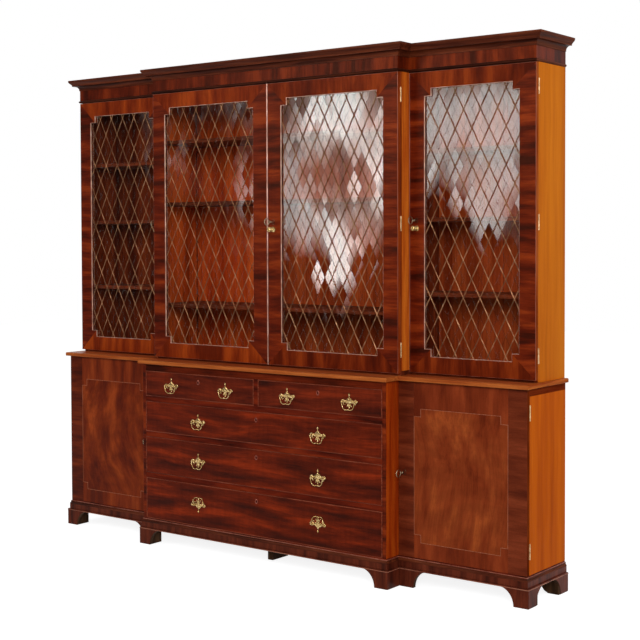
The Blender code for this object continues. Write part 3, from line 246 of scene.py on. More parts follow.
# each wood: what it is, its cut, the axis of its grain, the shift of its pattern, its tones from dark to
# light, and where it differs from its cut
woods = {
    "crossbandX": ("mahogany crossbanding across a stile", veneer, "x", 0.0,
                   [(52, 13, 5), (82, 21, 7), (105, 32, 10), (130, 47, 15)], {}),
    "crossbandZ": ("mahogany crossbanding along a rail", railVeneer, "z", 2.0,
                   [(89, 25, 6), (109, 34, 8), (127, 45, 11), (149, 59, 15)],
                   {"streaks": 0.30, "specular": 0.05}),
    "rightBandZ": ("mahogany crossbanding along a rail of the right doors", railVeneer, "z", 2.5,
                   [(70, 18, 6), (91, 27, 8), (110, 37, 11), (131, 50, 15)],
                   {"streaks": 0.34, "specular": 0.04}),
    "lowerBandX": ("cupboard door crossbanding across a stile", veneer, "x", 23.0,
                   [(80, 28, 14), (95, 36, 18), (107, 43, 22), (122, 52, 28)], {"streaks": 0.26}),
    "lowerBandZ": ("cupboard door crossbanding along a rail", railVeneer, "z", 24.0,
                   [(92, 31, 13), (107, 39, 16), (118, 45, 20), (134, 55, 25)], {"streaks": 0.24}),
    # painted highlight and wear: pale tones on the doors' eased arrises, the wing doors' closing edges and
    # the plinth's top bead
    "arris": ("door arris, worn and with a painted highlight", veneer, "z", 21.0,
              [(104, 50, 38), (132, 70, 54), (150, 88, 70), (168, 104, 86)],
              {"specular": 0.3, "roughness": 0.28}),
    "drawerVeneer": ("figured mahogany drawer veneer", drawerFigure, "x", 0.0,
                     [(56, 15, 8), (80, 22, 9), (102, 30, 11), (132, 41, 14)], {"spread": 0.32}),
    "topDrawerVeneer": ("figured mahogany of the short drawers", drawerFigure, "x", 31.0,
                        [(42, 12, 8), (74, 21, 10), (94, 29, 13), (118, 38, 16)], {}),
    "panelVeneer": ("figured mahogany door panel", panelFigure, "z", 5.0,
                    [(88, 27, 10), (116, 44, 18), (132, 56, 24), (156, 73, 31)],
                    {"spread": 0.40, "waver": 0.13, "waverScale": 2.6, "streaks": 0.34}),
    "leftBandX": ("left cupboard door crossbanding across a stile", veneer, "x", 35.0,
                  [(58, 15, 6), (77, 22, 7), (94, 31, 10), (113, 42, 14)], {}),
    "leftBandZ": ("left cupboard door crossbanding along a rail", railVeneer, "z", 36.0,
                  [(82, 25, 9), (102, 34, 11), (117, 42, 15), (136, 55, 21)], {"streaks": 0.30}),
    "leftPanel": ("figured mahogany panel of the left door", panelFigure, "z", 37.0,
                  [(70, 18, 7), (98, 31, 10), (118, 43, 14), (146, 60, 22)],
                  {"spread": 0.34, "waver": 0.42, "waverScale": 1.7, "streaks": 0.28}),
    "railX": ("mahogany rail with level grain", veneer, "x", 9.0,
              [(49, 14, 8), (82, 23, 12), (104, 32, 15), (123, 42, 18)], {"specular": 0.03}),
    "topRail": ("rail under the waist", veneer, "x", 9.5,
                [(52, 15, 7), (84, 25, 10), (101, 32, 12), (116, 41, 16)], {"specular": 0.03}),
    "doorEdge": ("edge of a cupboard door", veneer, "z", 27.0,
                 [(86, 29, 8), (104, 39, 12), (117, 47, 16), (132, 58, 22)], {"specular": 0.0}),
    "wingEdge": ("faded edge of a wing door", veneer, "z", 27.5,
                 [(128, 52, 18), (146, 64, 25), (159, 76, 32), (172, 88, 40)], {"specular": 0.0}),
    "mouldingX": ("dark mahogany moulding along the front", moulded, "x", 1.0,
                  [(49, 18, 10), (72, 28, 16), (88, 38, 21), (103, 47, 26)], {}),
    # painted shade: the bead over the doors is made dark for the shadow line under the cornice
    "shadedBead": ("bead over the doors with painted shade", moulded, "x", 1.5,
                   [(34, 13, 8), (50, 20, 12), (62, 27, 15), (74, 33, 18)], {"specular": 0.04}),
    "mouldingY": ("dark mahogany moulding along an end", moulded, "y", 1.0,
                  [(58, 22, 10), (86, 36, 15), (102, 46, 20), (116, 55, 25)], {"specular": 0.03}),
    "frieze": ("mahogany frieze with upright grain", veneer, "z", 4.0,
               [(54, 13, 4), (79, 21, 6), (96, 29, 8), (117, 40, 12)], {"figureAcross": 0.05}),
    "plinthWood": ("mahogany plinth with upright grain", veneer, "z", 6.0,
                   [(57, 21, 13), (78, 30, 18), (93, 38, 23), (106, 46, 28)], {"figureAcross": 0.040}),
    "fadedSide": ("sun faded mahogany end", sunFaded, "z", 8.0,
                  [(168, 82, 8), (187, 97, 12), (200, 110, 16), (210, 122, 24)], {"specular": 0.02}),
    "fadedCupboardSide": ("sun faded cupboard end", sunFaded, "z", 8.6,
                          [(160, 66, 6), (180, 80, 8), (194, 92, 10), (206, 104, 16)], {"specular": 0.014}),
    "returnStrip": ("orange mahogany return", returnWood, "z", 10.0,
                    [(166, 66, 17), (190, 86, 23), (206, 102, 28), (220, 118, 34)], {"specular": 0.02}),
    "lowReturn": ("red mahogany return of the chest", returnWood, "z", 10.6,
                  [(124, 36, 6), (146, 48, 9), (162, 60, 12), (176, 74, 16)], {"specular": 0.03}),
    "waistEdge": ("lighter mahogany edge of the waist", waistWood, "x", 12.0,
                  [(144, 64, 25), (158, 78, 32), (171, 90, 39), (182, 102, 47)], {"streaks": 0.3}),
    "waistEnd": ("sun faded edge of the waist", waistWood, "y", 12.5,
                 [(138, 56, 16), (160, 74, 23), (176, 88, 30), (192, 102, 38)], {"specular": 0.015}),
    "waistBand": ("dark band under the waist", moulded, "y", 33.0,
                  [(84, 26, 9), (108, 37, 14), (121, 46, 18), (136, 56, 22)], {"specular": 0.0}),
    "centreEdge": ("edge of a centre door", veneer, "z", 34.0,
                   [(112, 38, 11), (134, 50, 15), (150, 60, 19), (164, 74, 24)], {"specular": 0.0}),
    "waistTop": ("mahogany top of the waist", waistWood, "x", 13.0,
                 [(128, 52, 22), (152, 66, 29), (168, 78, 36), (180, 90, 44)],
                 {"figureAcross": 0.03, "streakAcross": 0.004}),
    "insideZ": ("inside wood with upright grain", insideWood, "z", 14.0,
                [(84, 26, 12), (106, 36, 16), (122, 44, 20), (134, 52, 24)], {}),
    "litFace": ("lit face of the left partition", insideWood, "z", 14.2,
                [(158, 54, 17), (184, 68, 24), (202, 80, 30), (216, 90, 35)], {}),
    # painted light on the back panel: lightest at the left of the middle bay, darker towards the right
    "insideCentre": ("back panel, faded in the middle bay", insideWood, "z", 14.7,
                     [(176, 54, 18), (196, 68, 25), (212, 82, 32), (224, 94, 38)],
                     {"fade": (-0.32, -0.14, [(132, 44, 18), (154, 56, 24), (170, 68, 30), (184, 78, 36)])}),
    # painted shade: dark tones for the rough blocks behind and under the feet, and for the downward faces of
    # the bracket feet
    "footBlock": ("rough support block with painted shade", veneer, "z", 25.0,
                  [(46, 30, 18), (62, 41, 26), (76, 51, 33), (90, 62, 42)], {"roughness": 0.6}),
    # painted highlight: a pale line where the bead under the band catches the light
    "plinthBead": ("plinth bead with a painted highlight", veneer, "x", 26.0,
                   [(110, 60, 44), (140, 84, 64), (158, 102, 80), (172, 116, 92)], {"specular": 0.2}),
    "insideX": ("inside wood with level grain", insideWood, "x", 15.0,
                [(78, 30, 16), (98, 38, 20), (112, 45, 24), (124, 52, 28)], {"figureAcross": 0.05}),
    "roughBack": ("unpolished back board", unpolished, "z", 41.0,
                  [(90, 55, 32), (110, 70, 42), (125, 82, 51), (141, 97, 63)],
                  {"streaks": 0.40, "roughness": 0.80}),
    "roughTop": ("dusty top board", unpolished, "x", 42.0,
                 [(86, 54, 34), (104, 68, 44), (118, 79, 53), (134, 94, 66)],
                 {"figureAcross": 0.07, "streaks": 0.34, "roughness": 0.85}),
    "oak": ("pale drawer lining", lining, "x", 16.0,
            [(150, 108, 62), (174, 130, 80), (188, 146, 94), (198, 158, 106)], {}),
    "oakSide": ("pale drawer side", lining, "y", 16.5,
                [(146, 104, 59), (170, 127, 77), (185, 143, 91), (196, 156, 104)], {}),
    "stringing": ("pale boxwood line", inlay, "z", 17.0,
                  [(126, 70, 48), (150, 88, 62), (164, 100, 72), (174, 110, 80)], {}),
    "cockBead": ("rounded bead of red wood", inlay, "x", 18.0,
                 [(92, 36, 23), (118, 52, 34), (134, 64, 43), (148, 76, 53)],
                 {"specular": 0.10, "roughness": 0.26}),
    # painted shade: a near-black plug stands for the shade inside a keyhole
    "keyhole": ("painted shade of a keyhole", veneer, "z", 22.0,
                [(20, 10, 8), (28, 13, 10), (34, 16, 12), (40, 20, 14)], {}),
}
# each metal: what it is, its dark, middle and light tone, the scale of its clouds, its roughness, how
# metallic
metals = {
    "brass": ("aged brass", (92, 66, 32), (186, 152, 92), (246, 224, 172), 170.0, 0.20, 0.82),
    "hingeBrass": ("hinge brass", (176, 140, 96), (228, 196, 146), (252, 228, 184), 60.0, 0.36, 0.7),
    "latticeBrass": ("dulled lattice brass", (86, 56, 38), (126, 88, 60), (176, 130, 94), 26.0, 0.36),
    "gilt": ("pale gilt bead", (172, 132, 112), (220, 180, 158), (246, 214, 192), 30.0, 0.34),
    "meetingGilt": ("gilt bead between the middle doors", (128, 92, 78), (172, 132, 116), (200, 162, 146),
                    12.0, 0.34),
    "ringBrass": ("blackened key ring", (44, 32, 22), (78, 58, 42), (118, 92, 68), 120.0, 0.40),
    "keyRing": ("reddened key ring", (84, 34, 22), (128, 58, 40), (168, 92, 68), 120.0, 0.40, 0.4),
    "keySteel": ("tarnished key metal", (92, 78, 60), (150, 132, 106), (206, 190, 162), 160.0, 0.30),
}
finishes = {}
for finishName, (label, cut, grain, shift, tones, own) in woods.items():
    finishes[finishName] = woodFinish(label, {**cut, "grain": grain, "shift": shift, "tones": tones, **own})
for finishName, look in metals.items():
    finishes[finishName] = metalFinish(*look)
finishes["glass"] = glassFinish("old window glass")
print("finishes ready,", len(finishes))


# mesh helpers. Each adds a closed body to a bmesh.

def closedBody(bm, faces, slot):
    for face in faces:
        face.material_index = slot
    bmesh.ops.recalc_face_normals(bm, faces=faces)
    return faces


def boardInto(bm, low, high, slot=0):
    corners = [bm.verts.new((x, y, z)) for z in (low[2], high[2]) for y in (low[1], high[1])
               for x in (low[0], high[0])]
    rings = ((0, 1, 3, 2), (4, 6, 7, 5), (0, 4, 5, 1), (1, 5, 7, 3), (3, 7, 6, 2), (2, 6, 4, 0))
    return closedBody(bm, [bm.faces.new([corners[k] for k in ring]) for ring in rings], slot)


def bridge(bm, rings, closeRings=True, capped=True, slot=0, looped=False):
    faces = []
    count = len(rings[0])
    pairs = list(zip(rings, rings[1:])) + ([(rings[-1], rings[0])] if looped else [])
    for here, beyond in pairs:
        for k in range(count if closeRings else count - 1):
            faces.append(bm.faces.new((here[k], here[(k + 1) % count], beyond[(k + 1) % count], beyond[k])))
    if capped and not looped:
        faces += [bm.faces.new(rings[0]), bm.faces.new(rings[-1])]
    return closedBody(bm, faces, slot)


def sweepInto(bm, profile, planOf, slotOf=None):
    # profile: closed list of (projection, height); planOf(projection) gives the plan's points, mitred
    rings = [[bm.verts.new((*point, height)) for point in planOf(out)] for out, height in profile]
    faces = []
    runs = len(rings[0]) - 1
    for j, ring in enumerate(rings):
        after = rings[(j + 1) % len(rings)]
        for i in range(runs):
            face = bm.faces.new((ring[i], ring[i + 1], after[i + 1], after[i]))
            face.material_index = slotOf(i) if slotOf else 0
            faces.append(face)
    faces += [bm.faces.new([ring[0] for ring in rings]), bm.faces.new([ring[-1] for ring in rings])]
    bmesh.ops.recalc_face_normals(bm, faces=faces)
    return faces


def prismInto(bm, outline, place, start, end, slot=0):
    # outline: pairs on a plane; place(a, b, depth) gives the point
    rings = [[bm.verts.new(place(a, b, depth)) for a, b in outline] for depth in (start, end)]
    return bridge(bm, rings, slot=slot)


def upright(a, b, depth):
    return (a, depth, b)


def lying(a, b, height):
    return (a, b, height)


def arc(a, b, reachA, reachB, first, last, steps):
    # points on part of an oval round (a, b), both ends included
    turns = [first + (last - first) * k / steps for k in range(steps + 1)]
    return [(a + reachA * cos(turn), b + reachB * sin(turn)) for turn in turns]


def ovalInto(bm, x, z, face, halfSizes, section, sides, looped=True, slot=0):
    # section: (share of the half sizes, how far it stands in front of the face) pairs
    rings = []
    for share, stand in section:
        ring = arc(0.0, 0.0, halfSizes[0] * share, halfSizes[1] * share, 0.0, 2 * pi, sides)[:-1]
        rings.append([bm.verts.new((x + a, face - stand, z + b)) for a, b in ring])
    return bridge(bm, rings, slot=slot, looped=looped)


def turnedInto(bm, profile, centre, along, sides=24, slot=0):
    # profile: (radius, distance along the axis) pairs; the axis starts at centre
    axis = Vector(along).normalized()
    side = axis.orthogonal().normalized()
    other = axis.cross(side)
    rings = []
    for radius, distance in profile:
        middle = Vector(centre) + axis * distance
        rings.append([bm.verts.new(middle + radius * (a * side + b * other))
                      for a, b in arc(0.0, 0.0, 1.0, 1.0, 0.0, 2 * pi, sides)[:-1]])
    return bridge(bm, rings, slot=slot)


def rodInto(bm, points, radii, sides=10, flat=(1.0, 1.0), across=None, looped=False, slot=0):
    # a rod through points; flat scales its section across and through the plane of the path
    points = [Vector(p) for p in points]
    count = len(points)
    radii = radii if isinstance(radii, (list, tuple)) else [radii] * count
    across = Vector(across) if across else Vector((0, 1, 0))
    rings = []
    for i, point in enumerate(points):
        before = points[(i - 1) % count] if looped or i else point
        after = points[(i + 1) % count] if looped or i < count - 1 else point
        along = (after - before).normalized()
        side = along.cross(across).normalized()
        level = side.cross(along).normalized()
        section = arc(0.0, 0.0, flat[0], flat[1], 0.0, 2 * pi, sides)[:-1]
        rings.append([bm.verts.new(point + radii[i] * (a * side + b * level)) for a, b in section])
    return bridge(bm, rings, slot=slot, looped=looped)


def smoothPath(points, steps=6, looped=False):
    # Catmull-Rom curve through the points
    points = [Vector(p) for p in points]
    count = len(points)
    path = []
    for i in range(count if looped else count - 1):
        p0 = points[(i - 1) % count] if looped or i else points[0]
        p1, p2 = points[i], points[(i + 1) % count]
        p3 = points[(i + 2) % count] if looped or i + 2 < count else points[-1]
        for k in range(steps):
            t = k / steps
            path.append(0.5 * ((2 * p1) + (p2 - p0) * t + (2 * p0 - 5 * p1 + 4 * p2 - p3) * t * t
                               + (3 * p1 - p0 - 3 * p2 + p3) * t * t * t))
    if not looped:
        path.append(points[-1])
    return path


def meshOf(name, bm, *dressing):
    mesh = bpy.data.meshes.new(name)
    bm.to_mesh(mesh)
    bm.free()
    for finish in dressing:
        mesh.materials.append(finish)
    return mesh


def newObject(name, data):
    made = bpy.data.objects.new(name, data)
    bpy.context.scene.collection.objects.link(made)
    return made


def ridingPiece(name, mesh, body, replaced, smoothAngle):
    mesh.name = name
    mesh.shade_smooth()
    mesh.set_sharp_from_angle(angle=radians(smoothAngle))
    piece = newObject(name, mesh)
    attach(piece, body)
    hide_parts(*replaced)
    return piece


def makePiece(name, bm, slots, body, replaced, ease=0.0, easeSteps=2, smoothAngle=35, arris=-1):
    mesh = meshOf(name, bm, *(finishes[finish] for finish in slots))
    piece = ridingPiece(name, mesh, body, replaced, smoothAngle)
    if ease:
        bevel = piece.modifiers.new("eased edges", "BEVEL")
        bevel.width = ease
        bevel.segments = easeSteps
        bevel.limit_method = "WEIGHT" if mesh.attributes.get("bevel_weight_edge") else "ANGLE"
        bevel.angle_limit = radians(32)
        bevel.harden_normals = True
        bevel.material = arris
    return piece


def dressCopy(node, slots, slotOf=None, ease=0.0012, cuts=()):
    # a merged copy of a plain CAD board, with eased edges and its own finishes
    # cuts: axis and place of each change of finish
    bm = bmesh.new()
    bm.from_mesh(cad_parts[node].data)
    bmesh.ops.remove_doubles(bm, verts=bm.verts[:], dist=1e-6)
    bmesh.ops.dissolve_limit(bm, angle_limit=radians(0.5), verts=bm.verts[:], edges=bm.edges[:])
    for axis, place in cuts:
        across = Vector([1.0 if axis == k else 0.0 for k in "xyz"])
        bmesh.ops.bisect_plane(bm, geom=bm.verts[:] + bm.edges[:] + bm.faces[:], plane_co=across * place,
                               plane_no=across)
    for face in bm.faces:
        face.material_index = slotOf(face) if slotOf else 0
    makePiece(node + "_dressed", bm, slots, "case", [node], ease)


def breakfront(wide, centre, wingFront, centreFront, back):
    right = [(centre, centreFront), (centre, wingFront), (wide, wingFront), (wide, back)]
    return [(-x, y) for x, y in reversed(right)] + right


def lowerPlan(grow):
    b = bookcase
    return breakfront(b["halfWidth"] + grow, b["chestHalfWidth"] + grow, b["cupboardFront"] - grow,
                      b["chestFront"] - grow, b["back"])


def upperPlan(grow):
    b = bookcase
    return breakfront(b["upperHalfWidth"] + grow, b["upperCentreHalfWidth"] + grow, b["wingDoorFront"] - grow,
                      b["centreDoorFront"] - grow, b["back"])


def endRun(i):
    return 1 if i in (0, 6) else 0


# plinth: moulding, band and bracket feet

plinth = {"footHeight": 0.074, "bandTop": 0.105, "mouldTop": 0.1205, "stand": 0.015, "wall": 0.020,
          "footBase": 0.068, "footTop": 0.135, "beadHeight": 0.0034, "beadStand": 0.0016, "curveSteps": 14,
          "tierTop": 0.0798, "step": 0.007, "blockWidth": 0.067, "blockDepth": 0.082, "floorUnder": 0.1112,
          "support": ((-0.0145, -0.104, 0.0), (0.0155, 0.010, 0.1112)),
          # cut-away block behind a rear foot: how far in and how high
          "rearBlock": ((0.002, 0.0), (0.052, 0.0), (0.070, 0.010), (0.084, 0.028), (0.094, 0.052),
                        (0.098, 0.0794), (0.002, 0.0794))}


def footCurve():
    # hollow quarter curve from the foot's toe up to the band, as (distance, height)
    p = plinth
    return arc(p["footTop"], 0.0, p["footBase"] - p["footTop"], p["footHeight"], 0.0, pi / 2, p["curveSteps"])


def bracketRun(bm, start, end, innerStart, innerEnd):
    # one straight run of the plinth with a bracket foot at either end, mitred at both ends
    a, b = Vector(start), Vector(end)
    length = (b - a).length
    along = (b - a) / length
    curve, top = footCurve(), plinth["tierTop"]
    outline = [(0.0, 0.0)] + curve + [(length - d, h) for d, h in reversed(curve)]
    outline += [(length, 0.0), (length, top), (0.0, top)]
    kept = []
    for point in outline:
        if not kept or hypot(point[0] - kept[-1][0], point[1] - kept[-1][1]) > 1e-5:
            kept.append(point)
    inA, inB = Vector(innerStart), Vector(innerEnd)
    low, high = (inA - a).dot(along), (inB - a).dot(along)
    inward = (inA - a) - along * low
    outer = [bm.verts.new((*(a + along * d), h)) for d, h in kept]
    inner = []
    for d, h in kept:
        shifted = low if d < 1e-6 else high if d > length - 1e-6 else min(max(d, low), high)
        inner.append(bm.verts.new((*(a + along * shifted + inward), h)))
    for face in bridge(bm, [outer, inner]):
        # painted shade: the faces that look down, under the band and in the hollows, take the dark block wood
        face.normal_update()
        if face.normal.z < -0.01:
            face.material_index = 1


def makePlinth():
    p = plinth
    outer, inner = lowerPlan(p["stand"]), lowerPlan(p["stand"] - p["wall"])
    bm = bmesh.new()
    for i in range(7):
        if i in (2, 4):
            # the short returns beside the chest stand on the floor over their whole length
            prismInto(bm, [outer[i], outer[i + 1], inner[i + 1], inner[i]], lying, 0.0, p["tierTop"])
        else:
            bracketRun(bm, outer[i], outer[i + 1], inner[i], inner[i + 1])
    band, inside = p["stand"] - p["step"], p["stand"] - p["wall"]
    sweepInto(bm, [(inside, p["tierTop"]), (band, p["tierTop"]), (band, p["bandTop"]),
                   (inside, p["bandTop"])],
              lowerPlan)
    rear = bookcase["back"] - p["wall"]
    half = bookcase["halfWidth"]
    for hand in (-1, 1):
        edge = hand * (half - 0.006)
        points = [(edge, 0.0)] + [(edge - hand * (d - 0.006), h) for d, h in footCurve()]
        points += [(edge - hand * 0.129, p["bandTop"]), (edge, p["bandTop"])]
        prismInto(bm, points, upright, rear, bookcase["back"] - 0.0005)
    boardInto(bm, (-half + 0.136, rear, p["footHeight"]), (half - 0.136, bookcase["back"] - 0.0005, 0.111))
    # the support block, the blocks behind the rear feet and the corner blocks take the dark block wood:
    # painted shade
    boardInto(bm, *p["support"], 1)
    for hand in (-1, 1):
        outline = [(hand * (outer[7][0] - d), z) for d, z in p["rearBlock"]]
        prismInto(bm, outline, upright, rear - p["blockDepth"] + p["wall"], rear - 0.0005, 1)
    for corner in (outer[1], outer[3], outer[4], outer[6]):
        inward = 1 if corner[0] < 0 else -1
        x0, x1 = sorted((corner[0] + inward * 0.0020, corner[0] + inward * p["blockWidth"]))
        boardInto(bm, (x0, corner[1] + 0.0020, 0.0), (x1, corner[1] + p["blockDepth"], p["tierTop"] - 0.0004),
                  1)
    makePiece("plinth_feet_and_band", bm, ["plinthWood", "footBlock"], "case", ["plinth"],
              0.0012)
    # the bead under the band is pale: a painted highlight
    bm = bmesh.new()
    low, tall, out = p["footHeight"] - 0.0008, p["beadHeight"], p["stand"]
    profile = [(out - 0.0010, low)] + arc(out, low + tall / 2, p["beadStand"], tall / 2, -pi / 2, pi / 2, 6)
    profile.append((out - 0.0010, low + tall))
    sweepInto(bm, profile, lowerPlan)
    makePiece("plinth_bead", bm, ["plinthBead"], "case", ["plinth"])
    bm = bmesh.new()
    t, m, s = p["bandTop"], p["mouldTop"], p["stand"] - p["step"]
    profile = [(-p["wall"], t), (s - 0.0004, t), (s, t + 0.0008), (s, t + 0.0030), (s - 0.0010, t + 0.0042)]
    profile += arc(s - 0.0014, m - 0.0022, 0.0050 - s, m - t - 0.0070, -pi / 2, 0.0, 8)
    profile += [(0.0012, m - 0.0021), (-p["wall"], m - 0.0021)]
    sweepInto(bm, profile, lowerPlan, endRun)
    makePiece("plinth_moulding", bm, ["mouldingX", "mouldingY"], "case", ["plinth"])
    # the top bead of the plinth moulding takes the pale arris finish: painted highlight and wear
    bm = bmesh.new()
    profile = [(-0.0040, m - 0.0020)] + arc(0.0022, m - 0.0004, 0.0017, 0.0016, -pi / 2, pi / 2, 6)
    profile.append((-0.0040, m + 0.0012))
    sweepInto(bm, profile, lowerPlan)
    makePiece("plinth_top_bead", bm, ["arris"], "case", ["plinth"], smoothAngle=50)
    bm = bmesh.new()
    prismInto(bm, lowerPlan(-0.0006), lying, p["floorUnder"], bookcase["caseFloor"])
    makePiece("case_floor_board", bm, ["railX"], "case", ["plinth"], 0.0006)


# waist board with a rounded nose

waist = {"nose": 0.018, "frontReach": 0.007, "round": 0.0026}


def waistPlan(grow):
    b = bookcase
    forward = grow + waist["frontReach"]
    return breakfront(b["halfWidth"] + grow, b["chestHalfWidth"] + grow, b["cupboardFront"] - forward,
                      b["chestFront"] - forward, b["back"])


def makeWaist():
    low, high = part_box("waist_board")
    nose, r = waist["nose"], waist["round"]
    bm = bmesh.new()
    reach = high[0] - bookcase["halfWidth"]
    z0, z1 = low[2], high[2]
    profile = [(reach - nose, z0), (reach - 0.003, z0)]
    for middle, first in ((z0 + 0.0028, -pi / 2), (z1 - 0.0034, 0.0)):
        profile += arc(reach - r, middle, r, r, first, first + pi / 2, 4)
    profile += [(reach - 0.0040, z1 - 0.0002), (reach - 0.006, z1), (reach - nose, z1)]
    sweepInto(bm, profile, waistPlan, endRun)
    makePiece("waist_nosing", bm, ["waistEdge", "waistEnd"], "case", ["waist_board"])
    bm = bmesh.new()
    prismInto(bm, waistPlan(reach - nose - 0.0002), lying, z0, z1)
    makePiece("waist_top", bm, ["waistTop"], "case", ["waist_board"], 0.0003, 1)


# cornice: bead, frieze, mouldings and top

cornice = {"wall": 0.018, "friezeTop": 2.2375, "top": 2.290, "beadHeight": 0.0105, "beadStand": 0.005,
           "coveStand": 0.017, "coveHeight": 0.0195, "step": 0.009, "reach": 0.043, "lip": 0.006,
           "boardUnder": 2.271, "boardTop": 2.287, "rearRail": 0.010}


def makeCornice():
    c = cornice
    bottom = bookcase["corniceBottom"]
    # the bead over the doors takes the dark bead finish: painted shade
    bm = bmesh.new()
    middle = bottom + 0.0008 + c["beadHeight"] / 2
    profile = [(-0.004, bottom), (0.0, bottom)]
    profile += arc(0.0, middle, c["beadStand"], c["beadHeight"] / 2, -pi / 2, pi / 2, 10)
    profile += [(0.0, bottom + c["beadHeight"] + 0.0016), (-0.004, bottom + c["beadHeight"] + 0.0016)]
    sweepInto(bm, profile, upperPlan, endRun)
    makePiece("cornice_bead", bm, ["shadedBead", "mouldingY"], "case", ["cornice"])
    bm = bmesh.new()
    overBead = bottom + c["beadHeight"] + 0.0018
    sweepInto(bm, [(-c["wall"], bottom), (-0.0042, bottom), (-0.0042, overBead), (0.0, overBead),
                   (0.0, c["friezeTop"]), (-c["wall"], c["friezeTop"])], upperPlan)
    makePiece("cornice_frieze", bm, ["frieze"], "case", ["cornice"])
    bm = bmesh.new()
    z = c["friezeTop"]
    profile = [(-c["wall"], z + 0.0001), (0.003, z + 0.0001), (0.003, z + 0.003)]
    profile += arc(0.003 + c["coveStand"], z + 0.003, -c["coveStand"], c["coveHeight"], 0.0, pi / 2, 12)[1:]
    base = 0.003 + c["coveStand"] + c["step"]
    z += 0.003 + c["coveHeight"]
    profile += [(base, z), (base, z + 0.003)]
    rise = c["top"] - c["lip"] - z - 0.003
    profile += [(base + (c["reach"] - base) * (1 - cos(pi * k / 12)) / 2, z + 0.003 + rise * k / 12)
                for k in range(1, 13)]
    profile += [(c["reach"], c["top"]), (-c["wall"], c["top"])]
    for face in sweepInto(bm, profile, upperPlan, endRun):
        if face.normal.z > 0.9 and face.calc_center_median().z > c["top"] - 0.001:
            face.material_index = 2
    makePiece("cornice_moulding", bm, ["mouldingX", "mouldingY", "roughTop"], "case", ["cornice"],
              0.0005, 1)
    bm = bmesh.new()
    prismInto(bm, upperPlan(-c["wall"] - 0.0002), lying, c["boardUnder"], c["boardTop"])
    half, back = bookcase["upperHalfWidth"] - c["wall"] - 0.0004, bookcase["back"]
    boardInto(bm, (-half, back - c["rearRail"], bottom), (half, back - 0.0002, c["boardUnder"] - 0.0002))
    makePiece("cornice_top_board", bm, ["roughTop"], "case", ["cornice"], 0.0008)


# glazed doors

glazedDoor = {"stile": 0.075, "meetingStile": 0.080, "rail": 0.070, "notch": 0.032, "ease": 0.0015,
              "netFront": 0.0085,
              "slip": ((0.0, 0.0012), (0.0006, 0.0012), (0.0013, 0.0022), (0.0014, 0.0066), (0.0, 0.0066)),
              "meetingWidth": 0.0066, "meetingStand": 0.004, "lockInset": 0.037, "lockHeight": 1.547,
              "knobHeight": 1.513}
# the closing edge of a wing door, a pale strip of painted highlight and wear: how far in from its edge, and
# how deep
closingEdge = ((0.0, 0.0018), (0.0, 0.0002), (0.0008, -0.0004), (0.0034, -0.0004), (0.0042, 0.0002),
               (0.0042, 0.0018))
lattice = {"cellWidth": 0.0800, "cellHeight": 0.1560, "barWidth": 0.0033, "barDepth": 0.0026,
           "bossRadius": 0.0032, "bossDepth": 0.58, "bossForward": 0.0004, "barSides": 10, "bossSides": 10,
           "bossRings": 6, "samples": 400}
panes = {"front": 0.0109, "thickness": 0.0018, "gap": 0.0004, "lap": 0.006, "tilt": 0.8, "seed": 11}
upperDoors = {
    "centre_left": {"left": -0.712, "right": -0.0005, "front": -0.117, "hinge": -1, "lock": False},
    "centre_right": {"left": 0.0005, "right": 0.712, "front": -0.117, "hinge": 1, "lock": True},
    "left": {"left": -1.316, "right": -0.7145, "front": -0.033, "hinge": -1, "lock": True},
    "right": {"left": 0.7145, "right": 1.316, "front": -0.033, "hinge": 1, "lock": True},
}


def notchedOutline(low, high, notch, grow=0.0):
    left, bottom, right, top = low[0] - grow, low[1] - grow, high[0] + grow, high[1] + grow
    return [(left + notch, bottom), (right - notch, bottom), (right - notch, bottom + notch),
            (right, bottom + notch), (right, top - notch), (right - notch, top - notch), (right - notch, top),
            (left + notch, top), (left + notch, top - notch), (left, top - notch), (left, bottom + notch),
            (left + notch, bottom + notch)]


def openingOf(name, door):
    stiles = {-1: glazedDoor["stile"], 1: glazedDoor["stile"]}
    if "centre" in name:
        stiles[-door["hinge"]] = glazedDoor["meetingStile"]
    low = (door["left"] + stiles[-1], bookcase["doorBottom"] + glazedDoor["rail"])
    high = (door["right"] - stiles[1], bookcase["doorTop"] - glazedDoor["rail"])
    return low, high


def mitredFrame(outer, o):
    # mitres run from each outer corner to the notch of the opening o
    (left, bottom), (right, top) = outer
    return ([(left, bottom), (right, bottom), o[2], o[1], o[0], o[11]],
            [(right, top), (left, top), o[8], o[7], o[6], o[5]],
            [(right, bottom), (right, top), o[5], o[4], o[3], o[2]],
            [(left, top), (left, bottom), o[11], o[10], o[9], o[8]])


def buttedFrame(outer, o):
    # the stiles run the full height, and the rails meet them at the sides of the opening o
    (left, bottom), (right, top) = outer
    return ([(o[10][0], bottom), (o[3][0], bottom), o[3], o[2], o[1], o[0], o[11], o[10]],
            [(o[4][0], top), (o[9][0], top), o[9], o[8], o[7], o[6], o[5], o[4]],
            [(o[3][0], bottom), (right, bottom), (right, top), (o[4][0], top)],
            [(left, bottom), (o[10][0], bottom), (o[9][0], top), (left, top)])


def frameInto(bm, members, front, rear):
    # members: the outlines of two rails, then of two stiles
    for outline, slot in zip(members, (1, 1, 0, 0)):
        prismInto(bm, outline, upright, front, rear, slot)


def liningInto(bm, low, high, notch, front, section):
    # a strip round the inside of a notched outline; section: how far in and how deep
    rings = [[bm.verts.new((x, front + depth, z)) for x, z in notchedOutline(low, high, notch, -inset)]
             for inset, depth in section]
    bridge(bm, rings, looped=True)


